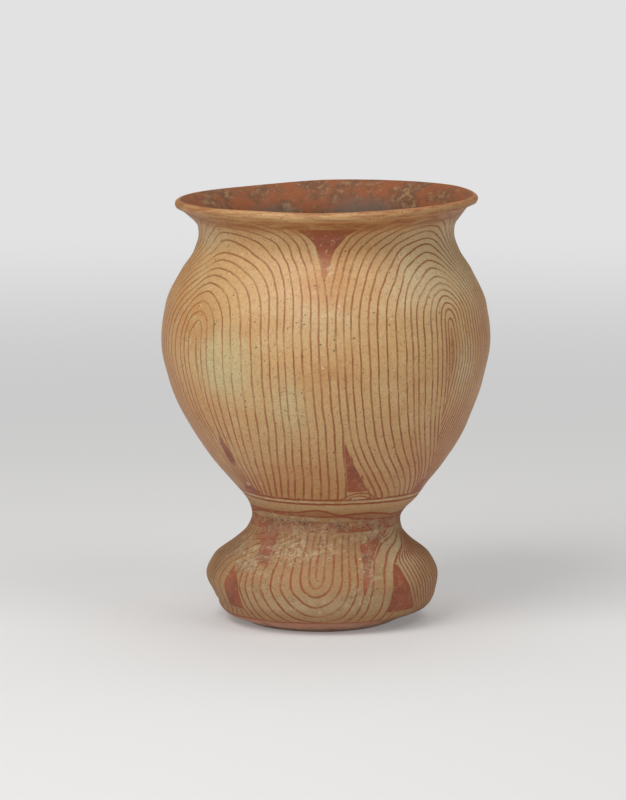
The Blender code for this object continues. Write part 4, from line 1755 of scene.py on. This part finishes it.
class Lamp(Enum):
    """Soft boxes of the studio: place in metres, width, and strength in watts."""

    KEY = ((-0.75, -1.05, 1.55), 1.1, 23.0)
    FILL = ((1.0, -1.0, 1.9), 1.1, 10.5)
    TOP = ((0.1, 0.5, 1.7), 1.0, 6.3)


@dataclass
class Studio:
    """Camera of the photograph's view, soft light and a pale floor."""

    distance: float = 3.3
    elevation: float = math.radians(8.5)
    pixel: float = 0.00068
    image_height: int = 800
    side_pixels: float = 13.0
    base_pixels: float = 218.5
    sensor: float = 36.0
    target: tuple[float, float, float] = (0.0, 0.0, 0.15)
    floor_radius: float = 14.0
    floor_sides: int = 96
    floor_roughness: float = 0.8
    floor_colour: Colour = srgb(236, 235, 233)
    far_colour: Colour = srgb(226, 226, 227)
    near_share: float = 0.25
    fade: Span = (0.35, 2.4)
    ambient: float = 0.18

    def camera(self) -> None:
        """Place the camera."""
        height = self.base_pixels * self.pixel / math.cos(self.elevation)
        aim = Vector((-self.side_pixels * self.pixel, 0.0, height))
        back = Vector((0.0, -math.cos(self.elevation), math.sin(self.elevation)))
        data = bpy.data.cameras.new("camera")
        data.sensor_fit = 'VERTICAL'
        data.sensor_height = self.sensor
        data.lens = self.distance / self.pixel * self.sensor / self.image_height
        camera = bpy.data.objects.new("camera", data)
        camera.location = aim + back * self.distance
        camera.rotation_euler = (-back).to_track_quat('-Z', 'Y').to_euler()
        bpy.context.scene.collection.objects.link(camera)
        bpy.context.scene.camera = camera

    def lamps(self) -> None:
        """Hang the soft boxes and set the light of the room."""
        for lamp in Lamp:
            place, width, strength = lamp.value
            data = bpy.data.lights.new(lamp.name.lower(), 'AREA')
            data.size = width
            data.energy = strength
            made = bpy.data.objects.new(data.name, data)
            made.location = place
            made.rotation_euler = (Vector(self.target) - Vector(place)).to_track_quat('-Z', 'Y').to_euler()
            bpy.context.scene.collection.objects.link(made)
        world = bpy.data.worlds.new("room")
        world.use_nodes = True
        tree = world.node_tree
        light = tree.nodes["Background"]
        light.inputs["Color"].default_value = (1.0, 1.0, 1.0, 1.0)
        light.inputs["Strength"].default_value = self.ambient
        backdrop = tree.nodes.new("ShaderNodeBackground")
        backdrop.inputs["Color"].default_value = self.far_colour
        rays = tree.nodes.new("ShaderNodeLightPath")
        either = tree.nodes.new("ShaderNodeMixShader")
        tree.links.new(rays.outputs["Is Camera Ray"], either.inputs[0])
        tree.links.new(light.outputs[0], either.inputs[1])
        tree.links.new(backdrop.outputs[0], either.inputs[2])
        tree.links.new(either.outputs[0], tree.nodes["World Output"].inputs["Surface"])
        bpy.context.scene.world = world

    def floor(self) -> None:
        """Lay the floor."""
        shape = bmesh.new()
        bmesh.ops.create_circle(shape, cap_ends=True, radius=self.floor_radius, segments=self.floor_sides)
        mesh = bpy.data.meshes.new("floor")
        shape.to_mesh(mesh)
        shape.free()
        graph = Graph("floor")
        matt = graph.node("ShaderNodeBsdfPrincipled", None, {
            "Base Color": self.floor_colour,
            "Roughness": self.floor_roughness,
        })
        glow = graph.node("ShaderNodeEmission", None, {"Color": self.far_colour, "Strength": 1.0})
        place = Value(graph, graph.node("ShaderNodeTexCoord").outputs["Object"])
        length = graph.node("ShaderNodeVectorMath", {"operation": 'LENGTH'}, {0: place})
        away = Value(graph, length.outputs["Value"])
        rays = graph.node("ShaderNodeLightPath")
        seen = Value(graph, rays.outputs["Is Camera Ray"]).most(Value(graph, rays.outputs["Is Glossy Ray"]))
        seen = seen.most(Value(graph, rays.outputs["Is Transmission Ray"]))
        share = seen * (self.near_share + away.rise(*self.fade) * (1.0 - self.near_share))
        surface = graph.node("ShaderNodeMixShader", None, {
            0: share, 1: Value(graph, matt.outputs[0]), 2: Value(graph, glow.outputs[0]),
        })
        graph.node("ShaderNodeOutputMaterial", None, {"Surface": Value(graph, surface.outputs[0])})
        mesh.materials.append(graph.material)
        floor = bpy.data.objects.new("floor", mesh)
        bpy.context.scene.collection.objects.link(floor)
        floor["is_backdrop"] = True

    def build(self) -> None:
        """Set up the studio."""
        self.camera()
        self.lamps()
        self.floor()
        bpy.context.scene.view_settings.view_transform = 'Standard'


def main() -> None:
    """Build the jar and the studio."""
    logging.basicConfig(level=logging.INFO, format="%(name)s: %(message)s")
    Studio().build()
    shop = Workshop(JarStory(), HandMarks(), LeanCage().make(), PaintedClay().material())
    pedestal = Pedestal()
    joint = LutedJoint()
    pedestal.build(shop, joint)
    joint.build(shop, pedestal)
    Bowl().build(shop, joint)
    Mouth().build(shop)
    bpy.data.objects.remove(shop.cage)
    boxes = {"cad": [list(corner) for corner in CAD_BOX], "visual": [list(corner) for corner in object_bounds()]}


if __name__ == "__main__":
    main()
